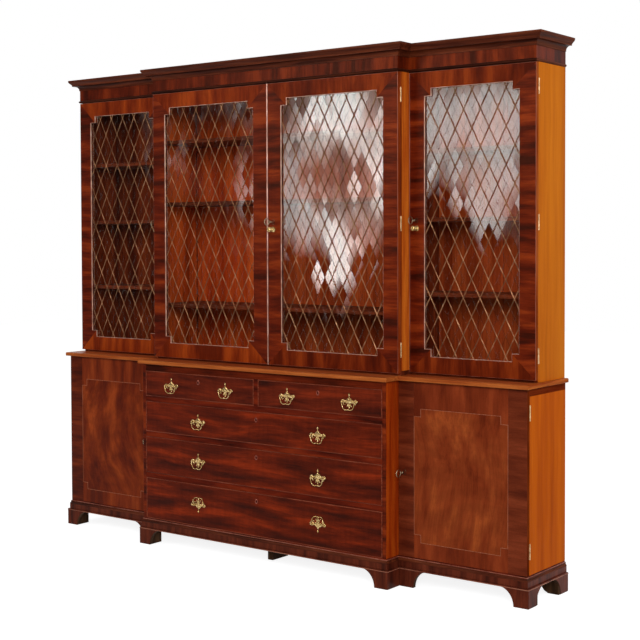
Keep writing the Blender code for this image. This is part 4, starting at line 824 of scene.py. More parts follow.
def easeOpenEdges(bm, outer):
    # rounds the outer edges fully, those of the opening half as much, and leaves the mitres sharp
    (left, bottom), (right, top) = outer
    weight = bm.edges.layers.float.new("bevel_weight_edge")
    for edge in bm.edges:
        a, b = (vert.co for vert in edge.verts)
        run = b - a
        if abs(run.y) > 1e-6 or min(abs(run.x), abs(run.z)) > 1e-6:
            continue
        across, limits = (a.x, (left, right)) if abs(run.z) > 1e-6 else (a.z, (bottom, top))
        edge[weight] = 1.0 if min(abs(across - limit) for limit in limits) < 1e-5 else 0.5


def clipPolygon(polygon, low, high):
    for axis, limit, sign in ((0, low[0], 1), (0, high[0], -1), (1, low[1], 1), (1, high[1], -1)):
        kept = []
        for i, point in enumerate(polygon):
            before = polygon[i - 1]
            inside, wasInside = (sign * (p[axis] - limit) >= 0 for p in (point, before))
            if inside != wasInside:
                share = (limit - before[axis]) / (point[axis] - before[axis])
                kept.append(tuple(before[n] + share * (point[n] - before[n]) for n in (0, 1)))
            if inside:
                kept.append(point)
        polygon = kept
        if len(polygon) < 3:
            return []
    return polygon


def netLines(low, high):
    # straight bars of the net, each cut to the notched opening, as pairs of (x, z)
    middle = ((low[0] + high[0]) / 2, (low[1] + high[1]) / 2)
    w, h = lattice["cellWidth"], lattice["cellHeight"]
    reach = int((high[0] - low[0]) / w + (high[1] - low[1]) / h) + 2
    n, steps = glazedDoor["notch"], lattice["samples"]
    lines = []
    for slope in (-h / w, h / w):
        for k in range(-reach, reach + 1):
            inside = []
            for s in range(steps + 1):
                x = low[0] + (high[0] - low[0]) * s / steps
                z = middle[1] + slope * (x - middle[0]) + (k + 0.5) * h
                inCorner = (x < low[0] + n or x > high[0] - n) and (z < low[1] + n or z > high[1] - n)
                if low[1] <= z <= high[1] and not inCorner:
                    inside.append((x, z))
            if len(inside) > 6:
                lines.append((inside[0], inside[-1]))
    return lines


def crossings(lines):
    # where a rising bar crosses a falling one, clear of their ends
    rising = [line for line in lines if (line[1][1] - line[0][1]) > 0]
    falling = [line for line in lines if (line[1][1] - line[0][1]) <= 0]
    found = []
    for (a, b) in rising:
        for (c, d) in falling:
            r, s = (b[0] - a[0], b[1] - a[1]), (d[0] - c[0], d[1] - c[1])
            cross = r[0] * s[1] - r[1] * s[0]
            t = ((c[0] - a[0]) * s[1] - (c[1] - a[1]) * s[0]) / cross
            u = ((c[0] - a[0]) * r[1] - (c[1] - a[1]) * r[0]) / cross
            if 0.004 < t < 0.996 and 0.004 < u < 0.996:
                found.append((a[0] + t * r[0], a[1] + t * r[1]))
    return found


def latticeTree():
    tree = bpy.data.node_groups.new("brass net", "GeometryNodeTree")
    tree.interface.new_socket("Geometry", in_out="INPUT", socket_type="NodeSocketGeometry")
    for label, size in (("Bar width", lattice["barWidth"]), ("Bar depth", lattice["barDepth"]),
                        ("Boss radius", lattice["bossRadius"])):
        socket = tree.interface.new_socket(label, in_out="INPUT", socket_type="NodeSocketFloat")
        socket.default_value = size
    tree.interface.new_socket("Brass", in_out="INPUT", socket_type="NodeSocketMaterial")
    tree.interface.new_socket("Geometry", in_out="OUTPUT", socket_type="NodeSocketGeometry")
    link = tree.links.new
    given = addNode(tree, "NodeGroupInput")
    out = addNode(tree, "NodeGroupOutput")
    ends = addNode(tree, "GeometryNodeInputMeshEdgeVertices")
    run = addNode(tree, "ShaderNodeVectorMath", {0: ends.outputs["Position 2"],
                                                 1: ends.outputs["Position 1"]},
                  operation="SUBTRACT")
    kept = addNode(tree, "GeometryNodeCaptureAttribute", domain="EDGE")
    kept.capture_items.new("VECTOR", "Run")
    link(given.outputs["Geometry"], kept.inputs["Geometry"])
    link(run.outputs[0], kept.inputs["Run"])
    middles = addNode(tree, "GeometryNodeMeshToPoints", {"Mesh": kept.outputs["Geometry"]}, mode="EDGES")
    length = addNode(tree, "ShaderNodeVectorMath", {0: kept.outputs["Run"]}, operation="LENGTH")
    turn = addNode(tree, "FunctionNodeAxesToRotation", {"Primary Axis": kept.outputs["Run"],
                                                        "Secondary Axis": (0.0, 1.0, 0.0)},
                   primary_axis="X", secondary_axis="Y")
    scale = addNode(tree, "ShaderNodeCombineXYZ", {"X": length.outputs["Value"],
                                                   "Y": given.outputs["Bar depth"],
                                                   "Z": given.outputs["Bar width"]})
    line = addNode(tree, "GeometryNodeCurvePrimitiveLine", {"Start": (-0.5, 0.0, 0.0),
                                                            "End": (0.5, 0.0, 0.0)})
    ring = addNode(tree, "GeometryNodeCurvePrimitiveCircle", {"Resolution": lattice["barSides"],
                                                              "Radius": 0.5})
    bar = addNode(tree, "GeometryNodeCurveToMesh", {"Curve": line.outputs[0],
                                                    "Profile Curve": ring.outputs[0], "Fill Caps": True})
    bars = addNode(tree, "GeometryNodeInstanceOnPoints", {"Points": middles.outputs[0],
                                                          "Instance": bar.outputs[0],
                                                          "Rotation": turn.outputs[0],
                                                          "Scale": scale.outputs[0]})
    single = addNode(tree, "GeometryNodeInputMeshVertexNeighbors")
    lone = addNode(tree, "FunctionNodeCompare", {"A": single.outputs["Vertex Count"], "B": 0},
                   data_type="INT", operation="EQUAL")
    knots = addNode(tree, "GeometryNodeMeshToPoints", {"Mesh": given.outputs["Geometry"],
                                                       "Selection": lone.outputs[0]},
                    mode="VERTICES")
    dome = addNode(tree, "GeometryNodeMeshUVSphere", {"Segments": lattice["bossSides"],
                                                      "Rings": lattice["bossRings"], "Radius": 1.0})
    domeSize = addNode(tree, "ShaderNodeCombineXYZ", {
        "X": given.outputs["Boss radius"], "Y": given.outputs["Bar depth"],
        "Z": given.outputs["Boss radius"]})
    trim = addNode(tree, "ShaderNodeVectorMath", {0: domeSize.outputs[0],
                                                  1: (1.0, lattice["bossDepth"], 1.0)},
                   operation="MULTIPLY")
    bosses = addNode(tree, "GeometryNodeInstanceOnPoints", {"Points": knots.outputs[0],
                                                            "Instance": dome.outputs[0],
                                                            "Scale": trim.outputs[0]})
    joined = addNode(tree, "GeometryNodeJoinGeometry")
    link(bars.outputs[0], joined.inputs[0])
    link(bosses.outputs[0], joined.inputs[0])
    real = addNode(tree, "GeometryNodeRealizeInstances", {"Geometry": joined.outputs[0]})
    painted = addNode(tree, "GeometryNodeSetMaterial", {"Geometry": real.outputs[0],
                                                        "Material": given.outputs["Brass"]})
    link(painted.outputs[0], out.inputs[0])
    return tree


def grown(tree, name, bm, finish, **sizes):
    # runs a tree on a guide mesh and gives back a plain mesh
    carrier = newObject(name, meshOf(name, bm))
    growth = carrier.modifiers.new("growth", "NODES")
    growth.node_group = tree
    for item in tree.interface.items_tree:
        if item.item_type == "SOCKET" and item.in_out == "INPUT":
            if item.socket_type == "NodeSocketMaterial":
                growth[item.identifier] = finishes[finish]
            elif item.name in sizes:
                growth[item.identifier] = sizes[item.name]
    bpy.context.view_layer.update()
    ready = bpy.data.meshes.new_from_object(carrier.evaluated_get(bpy.context.evaluated_depsgraph_get()))
    carrier.modifiers.remove(growth)
    bpy.data.objects.remove(carrier, do_unlink=True)
    return ready


def makePanes(name, low, high, front, body, node):
    # one tilted pane of old glass for each diamond of the net
    chance = random.Random(panes["seed"] + len(name) * 7 + int(low[0] * 100))
    w, h = lattice["cellWidth"] / 2, lattice["cellHeight"] / 2
    middle = ((low[0] + high[0]) / 2, (low[1] + high[1]) / 2)
    edge, lap = panes["gap"], panes["lap"]
    bm = bmesh.new()
    for i in range(-12, 13):
        for j in range(-12, 13):
            if (i + j) % 2:
                continue
            x, z = middle[0] + i * w, middle[1] + (j + 1) * h
            diamond = [(x - w + edge, z), (x, z - h + edge), (x + w - edge, z), (x, z + h - edge)]
            cell = clipPolygon(diamond, (low[0] - lap, low[1] - lap), (high[0] + lap, high[1] + lap))
            if len(cell) < 3:
                continue
            cx, cz = sum(p[0] for p in cell) / len(cell), sum(p[1] for p in cell) / len(cell)
            tiltX = tan(radians(chance.uniform(-1, 1) * panes["tilt"]))
            tiltZ = tan(radians(chance.uniform(-1, 1) * panes["tilt"] * 0.5))
            rings = [[bm.verts.new((px, depth + tiltX * (px - cx) + tiltZ * (pz - cz), pz))
                      for px, pz in cell]
                     for depth in (front, front + panes["thickness"])]
            bridge(bm, rings)
    makePiece(name, bm, ["glass"], body, [node])


def makeUpperDoor(name, door, tree):
    d = glazedDoor
    body = "glazed_door_" + name
    node = "upper_door_" + name
    front, rear = door["front"], door["front"] + bookcase["doorThickness"]
    low, high = openingOf(name, door)
    bottom, top = bookcase["doorBottom"], bookcase["doorTop"]
    bm = bmesh.new()
    outer = ((door["left"], bottom), (door["right"], top))
    frameInto(bm, mitredFrame(outer, notchedOutline(low, high, d["notch"])), front, rear)
    easeOpenEdges(bm, outer)
    for face in bm.faces:
        x = face.calc_center_median().x
        if abs(face.normal.x) > 0.9 and min(abs(x - door["left"]), abs(x - door["right"])) < 1e-4:
            face.material_index = 3
    edgeWood = "centreEdge" if "centre" in name else "wingEdge"
    railWood = "rightBandZ" if door["hinge"] > 0 else "crossbandZ"
    # the eased edges take the pale arris finish, a painted highlight with wear
    makePiece(node + "_frame", bm, ["crossbandX", railWood, "arris", edgeWood], body, [node],
              d["ease"], 3, arris=2)
    if "centre" not in name:
        # a pale strip of painted highlight and wear along the closing edge of a wing door
        bm = bmesh.new()
        edge = door["left"] if door["hinge"] > 0 else door["right"]
        section = [(edge + door["hinge"] * a, front + b) for a, b in closingEdge]
        prismInto(bm, section, lying, bottom + 0.001, top - 0.001)
        makePiece(node + "_closing_edge", bm, ["arris"], body, [node], smoothAngle=50)
    # thin gilt slip that lines the opening in front of the net
    bm = bmesh.new()
    liningInto(bm, low, high, d["notch"], front, d["slip"])
    makePiece(node + "_glazing_bead", bm, ["gilt"], body, [node], smoothAngle=50)
    makePanes("door_panes_" + name, low, high, front + panes["front"], body, "door_glass_" + name)
    # the net's guide: an edge for each bar and a lone point for each boss
    lines = netLines(low, high)
    bm = bmesh.new()
    netY = front + d["netFront"]
    for a, b in lines:
        bm.edges.new((bm.verts.new((a[0], netY, a[1])), bm.verts.new((b[0], netY, b[1]))))
    for x, z in crossings(lines):
        bm.verts.new((x, netY - lattice["bossForward"], z))
    net = grown(tree, "guide", bm, "latticeBrass")
    ridingPiece("brass_net_" + name, net, body, ["door_lattice_" + name], 40)
    makeHinges(name, door, rear, body, node, hinge["upper"])
    if name == "centre_right":
        bm = bmesh.new()
        x0, x1 = door["left"], door["left"] + d["meetingWidth"]
        half = (x1 - x0) / 2
        crown = [(x0 + half - half * cos(pi * k / 10), front - d["meetingStand"] * sin(pi * k / 10) ** 0.8)
                 for k in range(11)]
        section = [(x0, front + 0.0005)] + crown + [(x1, front + 0.0005)]
        prismInto(bm, section, lying, bottom, top)
        makePiece("meeting_bead", bm, ["meetingGilt"], body, [node], smoothAngle=50)
    if door["lock"]:
        lockX = (door["left"] if door["hinge"] > 0 else door["right"]) + door["hinge"] * d["lockInset"]
        makeKnob("knob_" + name, lockX, d["knobHeight"], front, body, node)
        makeKey("key_" + name, lockX, d["lockHeight"], front, "key_" + name + "_body", "key_" + name)
        makeKeyPlate("key_plate_" + name, lockX, d["lockHeight"], front, body, node)


# brass fittings of the doors

hinge = {"radius": 0.0030, "barrel": 0.0014, "leafDepth": 0.0009, "height": 0.064, "knuckles": 5,
         "gap": 0.0005, "upper": (2.077, 1.534, 0.998), "lower": (0.776, 0.222)}
# turning: shares of the radius and of the length, from the rose to the tip
knob = {"radius": 0.0125, "length": 0.038, "turning": (
    (0.78, 0.00), (0.96, 0.02), (0.96, 0.05), (0.72, 0.09), (0.40, 0.13), (0.32, 0.19), (0.40, 0.25),
    (0.74, 0.30), (0.86, 0.37), (0.84, 0.44), (0.62, 0.50), (0.44, 0.54), (0.44, 0.57), (0.70, 0.62),
    (0.94, 0.70), (1.00, 0.79), (0.92, 0.88), (0.68, 0.95), (0.36, 0.99), (0.10, 1.00))}
# collars: shares of the shank's radius, and how far back from its tip
key = {"shank": 0.0026, "reach": 0.031, "tail": 0.012, "bowWidth": 0.031, "bowHeight": 0.031, "wire": 0.0020,
       "bowPoints": 36, "bowPinch": 0.16, "collars": (
    (1.0, 0.0120), (1.15, 0.0118), (1.62, 0.0108), (1.62, 0.0094), (1.2, 0.0086), (1.2, 0.0074),
    (1.45, 0.0066), (1.45, 0.0052), (1.0, 0.0040), (0.92, 0.0004), (0.6, -0.0002))}
keyPlate = {"halfSizes": (0.0070, 0.0120), "sides": 28, "section": (
    (1.0, 0.0), (0.99, 0.0007), (0.95, 0.0011), (0.84, 0.0011), (0.78, 0.0008), (0.76, 0.0001))}


def makeHinges(name, door, rear, body, node, heights):
    edge, hand = (door["right"] if door["hinge"] > 0 else door["left"]), door["hinge"]
    x = edge + hand * (hinge["radius"] + 0.0003)
    r, tall, gap = hinge["barrel"], hinge["height"], hinge["gap"] / 2
    share = tall / hinge["knuckles"]
    bm = bmesh.new()
    for height in heights:
        low = height - tall / 2
        for k in range(hinge["knuckles"]):
            z0, z1 = share * k + gap, share * (k + 1) - gap
            knuckle = [(r - 0.0004, z0), (r, z0 + 0.0004), (r, z1 - 0.0004), (r - 0.0004, z1)]
            turnedInto(bm, knuckle, (x, rear, low), (0, 0, 1), 16)
        turnedInto(bm, [(r * 0.7, 0.0), (r * 0.7, tall - 0.0004)], (x, rear, low + 0.0002), (0, 0, 1), 12)
        # the door's leaf in its edge, and the strap from it to the knuckles
        leaf = sorted((edge - hand * 0.0006, edge + hand * 0.0005))
        boardInto(bm, (leaf[0], rear - 0.0006 - hinge["leafDepth"], low + 0.0004),
                  (leaf[1], rear - 0.0006, low + tall - 0.0004))
        strap = sorted((edge + hand * 0.0002, x))
        boardInto(bm, (strap[0], rear - 0.0010, low + 0.0006), (strap[1], rear + 0.0002, low + tall - 0.0006))
    makePiece("hinges_" + name, bm, ["hingeBrass"], body, [node], smoothAngle=40)


def makeKnob(name, x, z, front, body, node):
    profile = [(knob["radius"] * a, knob["length"] * b) for a, b in knob["turning"]]
    bm = bmesh.new()
    turnedInto(bm, profile, (x, front - 0.0001, z), (0, -1, 0), 32)
    makePiece(name, bm, ["brass"], body, [node], smoothAngle=60)


def makeKeyPlate(name, x, z, front, body, node):
    bm = bmesh.new()
    ovalInto(bm, x, z, front, keyPlate["halfSizes"], keyPlate["section"], keyPlate["sides"])
    makePiece(name, bm, ["ringBrass"], body, [node], smoothAngle=60)


def makeKey(name, x, z, front, body, node):
    k, tip, s = key, key["reach"], key["shank"]
    bm = bmesh.new()
    profile = [(s * 0.9, -k["tail"]), (s, -k["tail"] + 0.0005)] + [(s * a, tip - b) for a, b in k["collars"]]
    turnedInto(bm, profile, (x, front, z), (0, -1, 0), 20)
    bow = []
    for n in range(k["bowPoints"]):
        a = 2 * pi * n / k["bowPoints"]
        pinch = 1.0 - k["bowPinch"] * max(0.0, cos(a))
        bow.append((x, front - tip - k["bowWidth"] / 2 * (1 - cos(a)),
                    z + k["bowHeight"] / 2 * sin(a) * pinch))
    rodInto(bm, bow, k["wire"], 10, (1.0, 0.9), (1, 0, 0), looped=True)
    makePiece(name + "_turned", bm, ["keySteel"], body, [node], smoothAngle=50)


# cupboard doors with an inlaid line round a figured panel

cupboardDoor = {"bottom": 0.1265, "top": 0.870, "lineLeft": 0.0765, "lineRight": 0.085, "lineBottom": 0.065,
                "lineTop": 0.112, "notch": 0.033, "lineWidth": 0.0022, "skin": 0.0008, "lockInset": 0.030,
                "lockHeight": 0.484}
lowerDoors = {"left": {"left": -1.320, "right": -0.7105, "front": -0.110, "hinge": -1},
              "right": {"left": 0.7105, "right": 1.320, "front": -0.110, "hinge": 1}}


def makeLowerDoor(name, door):
    c = cupboardDoor
    body = "cupboard_door_" + name
    node = "lower_door_" + name
    front, rear = door["front"], door["front"] + bookcase["doorThickness"]
    inner = c["lineLeft"], c["lineRight"]
    if door["hinge"] < 0:
        inner = inner[::-1]
    low = (door["left"] + inner[0], c["bottom"] + c["lineBottom"])
    high = (door["right"] - inner[1], c["top"] - c["lineTop"])
    line, skin = c["lineWidth"], c["skin"]
    bm = bmesh.new()
    boardInto(bm, (door["left"], front + skin, c["bottom"]), (door["right"], rear, c["top"]), 2)
    outer = ((door["left"], c["bottom"]), (door["right"], c["top"]))
    frameInto(bm, buttedFrame(outer, notchedOutline(low, high, c["notch"])), front, front + skin)
    woods = ["lowerBandX", "lowerBandZ", "panelVeneer"]
    if name == "left":
        woods = ["leftBandX", "leftBandZ", "leftPanel"]
    makePiece(node + "_frame", bm, woods[:2] + ["doorEdge"], body, [node], 0.0003, 1)
    bm = bmesh.new()
    prismInto(bm, notchedOutline(low, high, c["notch"], -line), upright, front + 0.0002, front + skin)
    makePiece(node + "_panel", bm, woods[2:], body, [node])
    bm = bmesh.new()
    section = ((0.0, skin), (0.0001, 0.0), (line - 0.0001, 0.0), (line, skin))
    liningInto(bm, low, high, c["notch"], front, section)
    makePiece(node + "_stringing", bm, ["stringing"], body, [node])
    makeHinges("cupboard_" + name, door, rear, body, node, hinge["lower"])
    lockX = (door["left"] if door["hinge"] > 0 else door["right"]) + door["hinge"] * c["lockInset"]
    makeKeyPlate("key_plate_lower_" + name, lockX, c["lockHeight"], front, body, node)
    makeKey("key_lower_" + name, lockX, c["lockHeight"], front, "key_lower_" + name + "_body",
            "key_lower_" + name)


# drawers

drawer = {"frontThickness": 0.022, "length": 0.390, "wall": 0.010, "bottom": 0.012, "boxDrop": 0.014,
          "bead": 0.003, "beadStand": 0.002, "running": 0.001, "shortSpread": 0.16925, "longSpread": 0.3505,
          "keyDrop": 0.037, "keyRing": (0.0080, 0.0110), "keyhole": (0.0026, 0.0052), "keySides": 24,
          "ringSection": ((1.0, -0.0002), (0.96, 0.0004), (0.80, 0.0006), (0.66, 0.0004), (0.60, -0.0002))}
# left, right, bottom, top, and -1 where the handles hang upside down
drawerRows = {
    "top_left": (-0.689, -0.012, 0.717, 0.839, 1), "top_right": (0.012, 0.689, 0.717, 0.839, 1),
    "upper": (-0.689, 0.689, 0.546, 0.693, 1), "middle": (-0.689, 0.689, 0.347, 0.522, 1),
    "bottom": (-0.689, 0.689, 0.1255, 0.323, -1),
}


def makeDrawer(name, left, right, bottom, top, flip):
    d = drawer
    body, node = "drawer_" + name + "_body", "drawer_" + name
    run, face, short = d["running"], bookcase["chestFront"], name.startswith("top")
    x0, x1, z0, z1 = left + run, right - run, bottom + run, top - run
    b = d["bead"]
    bm = bmesh.new()
    boardInto(bm, (x0 + b, face, z0 + b), (x1 - b, face + d["frontThickness"], z1 - b))
    makePiece(node + "_front", bm, ["topDrawerVeneer" if short else "drawerVeneer"], body, [node],
              0.0004, 1)
    # cock bead: four rounded strips, mitred
    bm = bmesh.new()
    rear, stand = d["frontThickness"] - 0.004, -d["beadStand"]
    half = [(0.0, rear), (0.0, stand + 0.0009), (0.0004, stand + 0.0003), (0.0010, stand)]
    rings = []
    for inset, depth in half + [(b - inset, depth) for inset, depth in reversed(half)]:
        rings.append([bm.verts.new((x, face + depth, z)) for x, z in (
            (x0 + inset, z0 + inset), (x1 - inset, z0 + inset), (x1 - inset, z1 - inset),
            (x0 + inset, z1 - inset))])
    bridge(bm, rings, looped=True)
    makePiece(node + "_cock_bead", bm, ["cockBead"], body, [node], smoothAngle=50)
    # box in pale lining: sides, back and bottom
    bm = bmesh.new()
    bx0, bx1, bz0, bz1 = x0 + 0.0005, x1 - 0.0005, z0 + 0.0003, top - d["boxDrop"]
    y0, y1 = face + d["frontThickness"], face + d["length"]
    w = d["wall"]
    boardInto(bm, (bx0, y0 - 0.004, bz0), (bx0 + w, y1, bz1), 1)
    boardInto(bm, (bx1 - w, y0 - 0.004, bz0), (bx1, y1, bz1), 1)
    boardInto(bm, (bx0 + w, y1 - w, bz0 + 0.004), (bx1 - w, y1, bz1 - 0.004))
    boardInto(bm, (bx0 + w, y0, bz0 + 0.003), (bx1 - w, y1 - w, bz0 + d["bottom"]))
    makePiece(node + "_box", bm, ["oak", "oakSide"], body, [node], 0.0008)
    middleX, middleZ, keyZ = (left + right) / 2, (bottom + top) / 2, z1 - d["keyDrop"]
    bm = bmesh.new()
    ovalInto(bm, middleX, keyZ, face, d["keyRing"], d["ringSection"], d["keySides"])
    # the keyhole is a dark plug: painted shade
    ovalInto(bm, middleX, keyZ, face, d["keyhole"], ((1.0, 0.0001), (1.0, -0.0020)), d["keySides"],
             looped=False, slot=1)
    makePiece(node + "_key_ring", bm, ["keyRing", "keyhole"], body, [node], smoothAngle=60)
    for hand, side in ((-1, "left"), (1, "right")):
        x = middleX + hand * d["shortSpread" if short else "longSpread"]
        makePlate(node + "_plate_" + side, x, middleZ, flip, body, node)
        makeBail("bail_" + name + "_" + side, x, middleZ - flip * handle["postDrop"], flip)


handle = {
    "halfWidth": 0.0425, "halfHeight": 0.034, "posts": 0.031, "postDrop": 0.003, "axis": 0.0120,
    "bailDrop": 0.0345, "bailWire": 0.0017, "grip": 0.0021, "spire": 0.83, "toe": 0.86,
    # right side of the plate's vase, as shares of half width and half height from the middle
    "vase": ((0.00, 0.58), (0.06, 0.55), (0.05, 0.46), (0.15, 0.38), (0.30, 0.23), (0.44, 0.05),
             (0.48, -0.08), (0.40, -0.16), (0.24, -0.20), (0.13, -0.32), (0.19, -0.50), (0.31, -0.68),
             (0.26, -0.76), (0.13, -0.62), (0.07, -0.66), (0.08, -0.80), (0.00, -0.90)),
    # how the vase domes: scale and depth
    "dome": ((1.0, 0.0), (1.0, -0.0012), (0.90, -0.0022), (0.55, -0.0030)),
    # scrolls of the right side: points, then the rod's radius at each
    "scrolls": (
        (((0.34, 0.02), (0.50, 0.00), (0.66, 0.04), (0.79, 0.09), (0.91, 0.05), (0.98, -0.08), (0.91, -0.17)),
         (0.0026, 0.0028, 0.0032, 0.0033, 0.0032, 0.0030, 0.0024)),
        (((0.74, -0.12), (0.78, -0.28), (0.70, -0.44), (0.56, -0.46), (0.50, -0.36)),
         (0.0026, 0.0024, 0.0022, 0.0018, 0.0012)),
        (((0.20, -0.16), (0.34, -0.22), (0.46, -0.18), (0.60, -0.22)),
         (0.0020, 0.0018, 0.0016, 0.0014)),
    ),
    # turned parts: radius and distance along each
    "post": ((0.0068, 0.0), (0.0070, 0.0008), (0.0062, 0.0018), (0.0046, 0.0024), (0.0036, 0.0036),
             (0.0034, 0.0056), (0.0040, 0.0078), (0.0045, 0.0100), (0.0046, 0.0124), (0.0042, 0.0144),
             (0.0032, 0.0158), (0.0014, 0.0165)),
    "finial": ((0.0014, -0.0070), (0.0016, -0.0048), (0.0034, -0.0024), (0.0042, 0.0004), (0.0034, 0.0030),
               (0.0016, 0.0044), (0.0008, 0.0056), (0.0003, 0.0066)),
    "drop": ((0.0020, -0.0030), (0.0030, 0.0), (0.0026, 0.0022), (0.0006, 0.0042)),
    # one half of the bail from its pin to the grip, as shares of half the post spacing and of the drop
    "bail": ((1.14, 0.0), (1.16, -0.08), (1.08, -0.22), (1.00, -0.42), (0.93, -0.64), (0.77, -0.86),
             (0.50, -0.99), (0.20, -0.98), (0.0, -0.94)),
}


def spreadOver(values, count):
    # the values in even steps over count points
    spread = []
    for i in range(count):
        s = i / (count - 1) * (len(values) - 1)
        n = min(int(s), len(values) - 2)
        spread.append(values[n] + (values[n + 1] - values[n]) * (s - n))
    return spread


def makePlate(name, x, z, flip, body, node):
    h = handle
    face = bookcase["chestFront"]
    w, t = h["halfWidth"], h["halfHeight"] * flip
    bm = bmesh.new()
    half = smoothPath([(a, 0, b) for a, b in h["vase"]], 4)
    outline = [(p.x, p.z) for p in half] + [(-p.x, p.z) for p in reversed(half[1:-1])]
    rings = []
    for scale, depth in h["dome"]:
        lift = 0.12 * (1 - scale)
        rings.append([bm.verts.new((x + w * a * scale, face + depth, z + t * (b * scale + lift)))
                      for a, b in outline])
    bridge(bm, rings)
    for hand in (-1, 1):
        for points, radii in h["scrolls"]:
            path = smoothPath([(x + hand * w * a * 0.97, face - 0.0012, z + t * b) for a, b in points], 5)
            rodInto(bm, path, spreadOver(radii, len(path)), 10, (1.0, 0.62))
        turnedInto(bm, h["post"], (x + hand * h["posts"], face, z - flip * h["postDrop"]), (0, -1, 0), 20)
    turnedInto(bm, h["finial"], (x, face - 0.0017, z + t * h["spire"]), (0, 0, flip), 16)
    turnedInto(bm, h["drop"], (x, face - 0.0014, z - t * h["toe"]), (0, 0, -flip), 14)
    makePiece(name, bm, ["brass"], body, [node], smoothAngle=60)


def makeBail(name, x, z, flip):
    # a bail that stands up leans back until it lies on the drawer's front
    h = handle
    lean = asin((h["axis"] - 0.0023) / h["bailDrop"]) if flip < 0 else 0.0
    axisY = bookcase["chestFront"] - h["axis"]
    side = [(h["posts"] - 0.0022, 0.0)] + [(h["posts"] * a, flip * h["bailDrop"] * b) for a, b in h["bail"]]
    flat = side + [(-a, b) for a, b in reversed(side[:-1])]
    path = smoothPath([(x + a, axisY + abs(b) * sin(lean), z + b * cos(lean)) for a, b in flat], 5)
    widest = h["posts"] * 1.2
    sizes = [h["bailWire"] + (h["grip"] - h["bailWire"]) * max(0.0, 1 - (abs(p.x - x) / widest) * 1.4)
             for p in path]
    bm = bmesh.new()
    rodInto(bm, path, sizes, 12)
    makePiece(name + "_swan_neck", bm, ["brass"], name + "_body", [name], smoothAngle=60)


# carcase boards that keep the CAD shape

carcase = {"underWaist": 0.842, "overDrawers": 0.8393, "lipping": -0.086, "rebate": -0.014, "bayEdge": 0.702}


def facing(face, axis, sign):
    return face.normal["xyz".index(axis)] * sign > 0.7


def partitionSlot(face, hand):
    # outer face in front of the wings, its lipping, the face towards the middle bay, and the rest
    if facing(face, "x", -hand):
        return 3
    depth = face.calc_center_median().y
    if not facing(face, "x", hand) or depth > carcase["rebate"]:
        return 1
    return 2 if depth < carcase["lipping"] else 0


def makeCarcase():
    under, over, edge = carcase["underWaist"], carcase["overDrawers"], -carcase["bayEdge"]
    for side, hand in (("left", -1), ("right", 1)):
        def outside(face):
            return facing(face, "x", hand)

        dressCopy("base_side_" + side, ["fadedCupboardSide", "insideZ", "waistBand"],
                  lambda face: 1 if not outside(face) else 2 if face.calc_center_median().z > under else 0,
                  cuts=(("z", under),))
        dressCopy("upper_side_" + side, ["fadedSide", "insideZ"],
                  lambda face: 0 if outside(face) else 1)
        dressCopy("base_partition_" + side, ["lowReturn", "crossbandX", "insideZ"],
                  lambda face: 0 if outside(face) else 2 if facing(face, "x", -hand) else 1)
        dressCopy("upper_partition_" + side,
                  ["returnStrip", "insideZ", "centreEdge", "litFace" if hand < 0 else "insideZ"],
                  lambda face: partitionSlot(face, hand),
                  cuts=(("y", carcase["rebate"]), ("y", carcase["lipping"])))
    dressCopy("base_back", ["insideZ", "roughBack"],
              lambda face: 1 if facing(face, "y", 1) else 0)
    # painted light: the back of the middle and right bays takes lighter tones than the left wing's bay, which
    # keeps the plain inside wood; the outside was never polished
    dressCopy("upper_back", ["insideZ", "insideCentre", "roughBack"],
              lambda face: 2 if facing(face, "y", 1) else 1 if face.calc_center_median().x > edge else 0,
              cuts=(("x", edge),))
    dressCopy("drawer_frame", ["railX", "topRail"],
              lambda face: 1 if face.calc_center_median().z > over else 0, ease=0.0006, cuts=(("z", over),))
    for node in ("dustboard_middle", "dustboard_lower"):
        dressCopy(node, ["railX"], ease=0.0006)
    dressCopy("upper_bottom_board", ["insideX"])
    for bay in ("centre", "left", "right"):
        for level in ("low", "middle", "high"):
            dressCopy("shelf_" + bay + "_" + level, ["insideX"], ease=0.002)


makePlinth()
makeWaist()
makeCornice()
makeCarcase()
print("carcase ready")
net = latticeTree()
for doorName, place in upperDoors.items():
    makeUpperDoor(doorName, place, net)
for doorName, place in lowerDoors.items():
    makeLowerDoor(doorName, place)
print("doors ready")
for drawerName, place in drawerRows.items():
    makeDrawer(drawerName, *place)
print("drawers ready")


# stage: floor, what the glass reflects, light and camera

studio = {
    "ambient": 0.40, "floorGlow": 0.86, "floorReach": 14.0, "floorDrop": 0.0005, "clothLight": 10.0,
    # the dark end of the room that the panes mirror: left, right, depth, bottom, top
    "roomEnd": (-12.0, 2.2, -5.2, -0.4, 6.0),
    # each lamp: place, the point it faces, size of its sides, power
    "lamps": {
        "key_softbox": ((4.6, -6.0, 3.6), (0.2, 0, 1.1), 3.0, 330.0),
        "left_softbox": ((-3.6, -6.2, 3.8), (-0.2, 0, 1.0), 3.0, 132.0),
        "end_softbox": ((6.0, 0.6, 3.0), (1.3, 0, 1.1), 2.4, 72.0),
    },
}
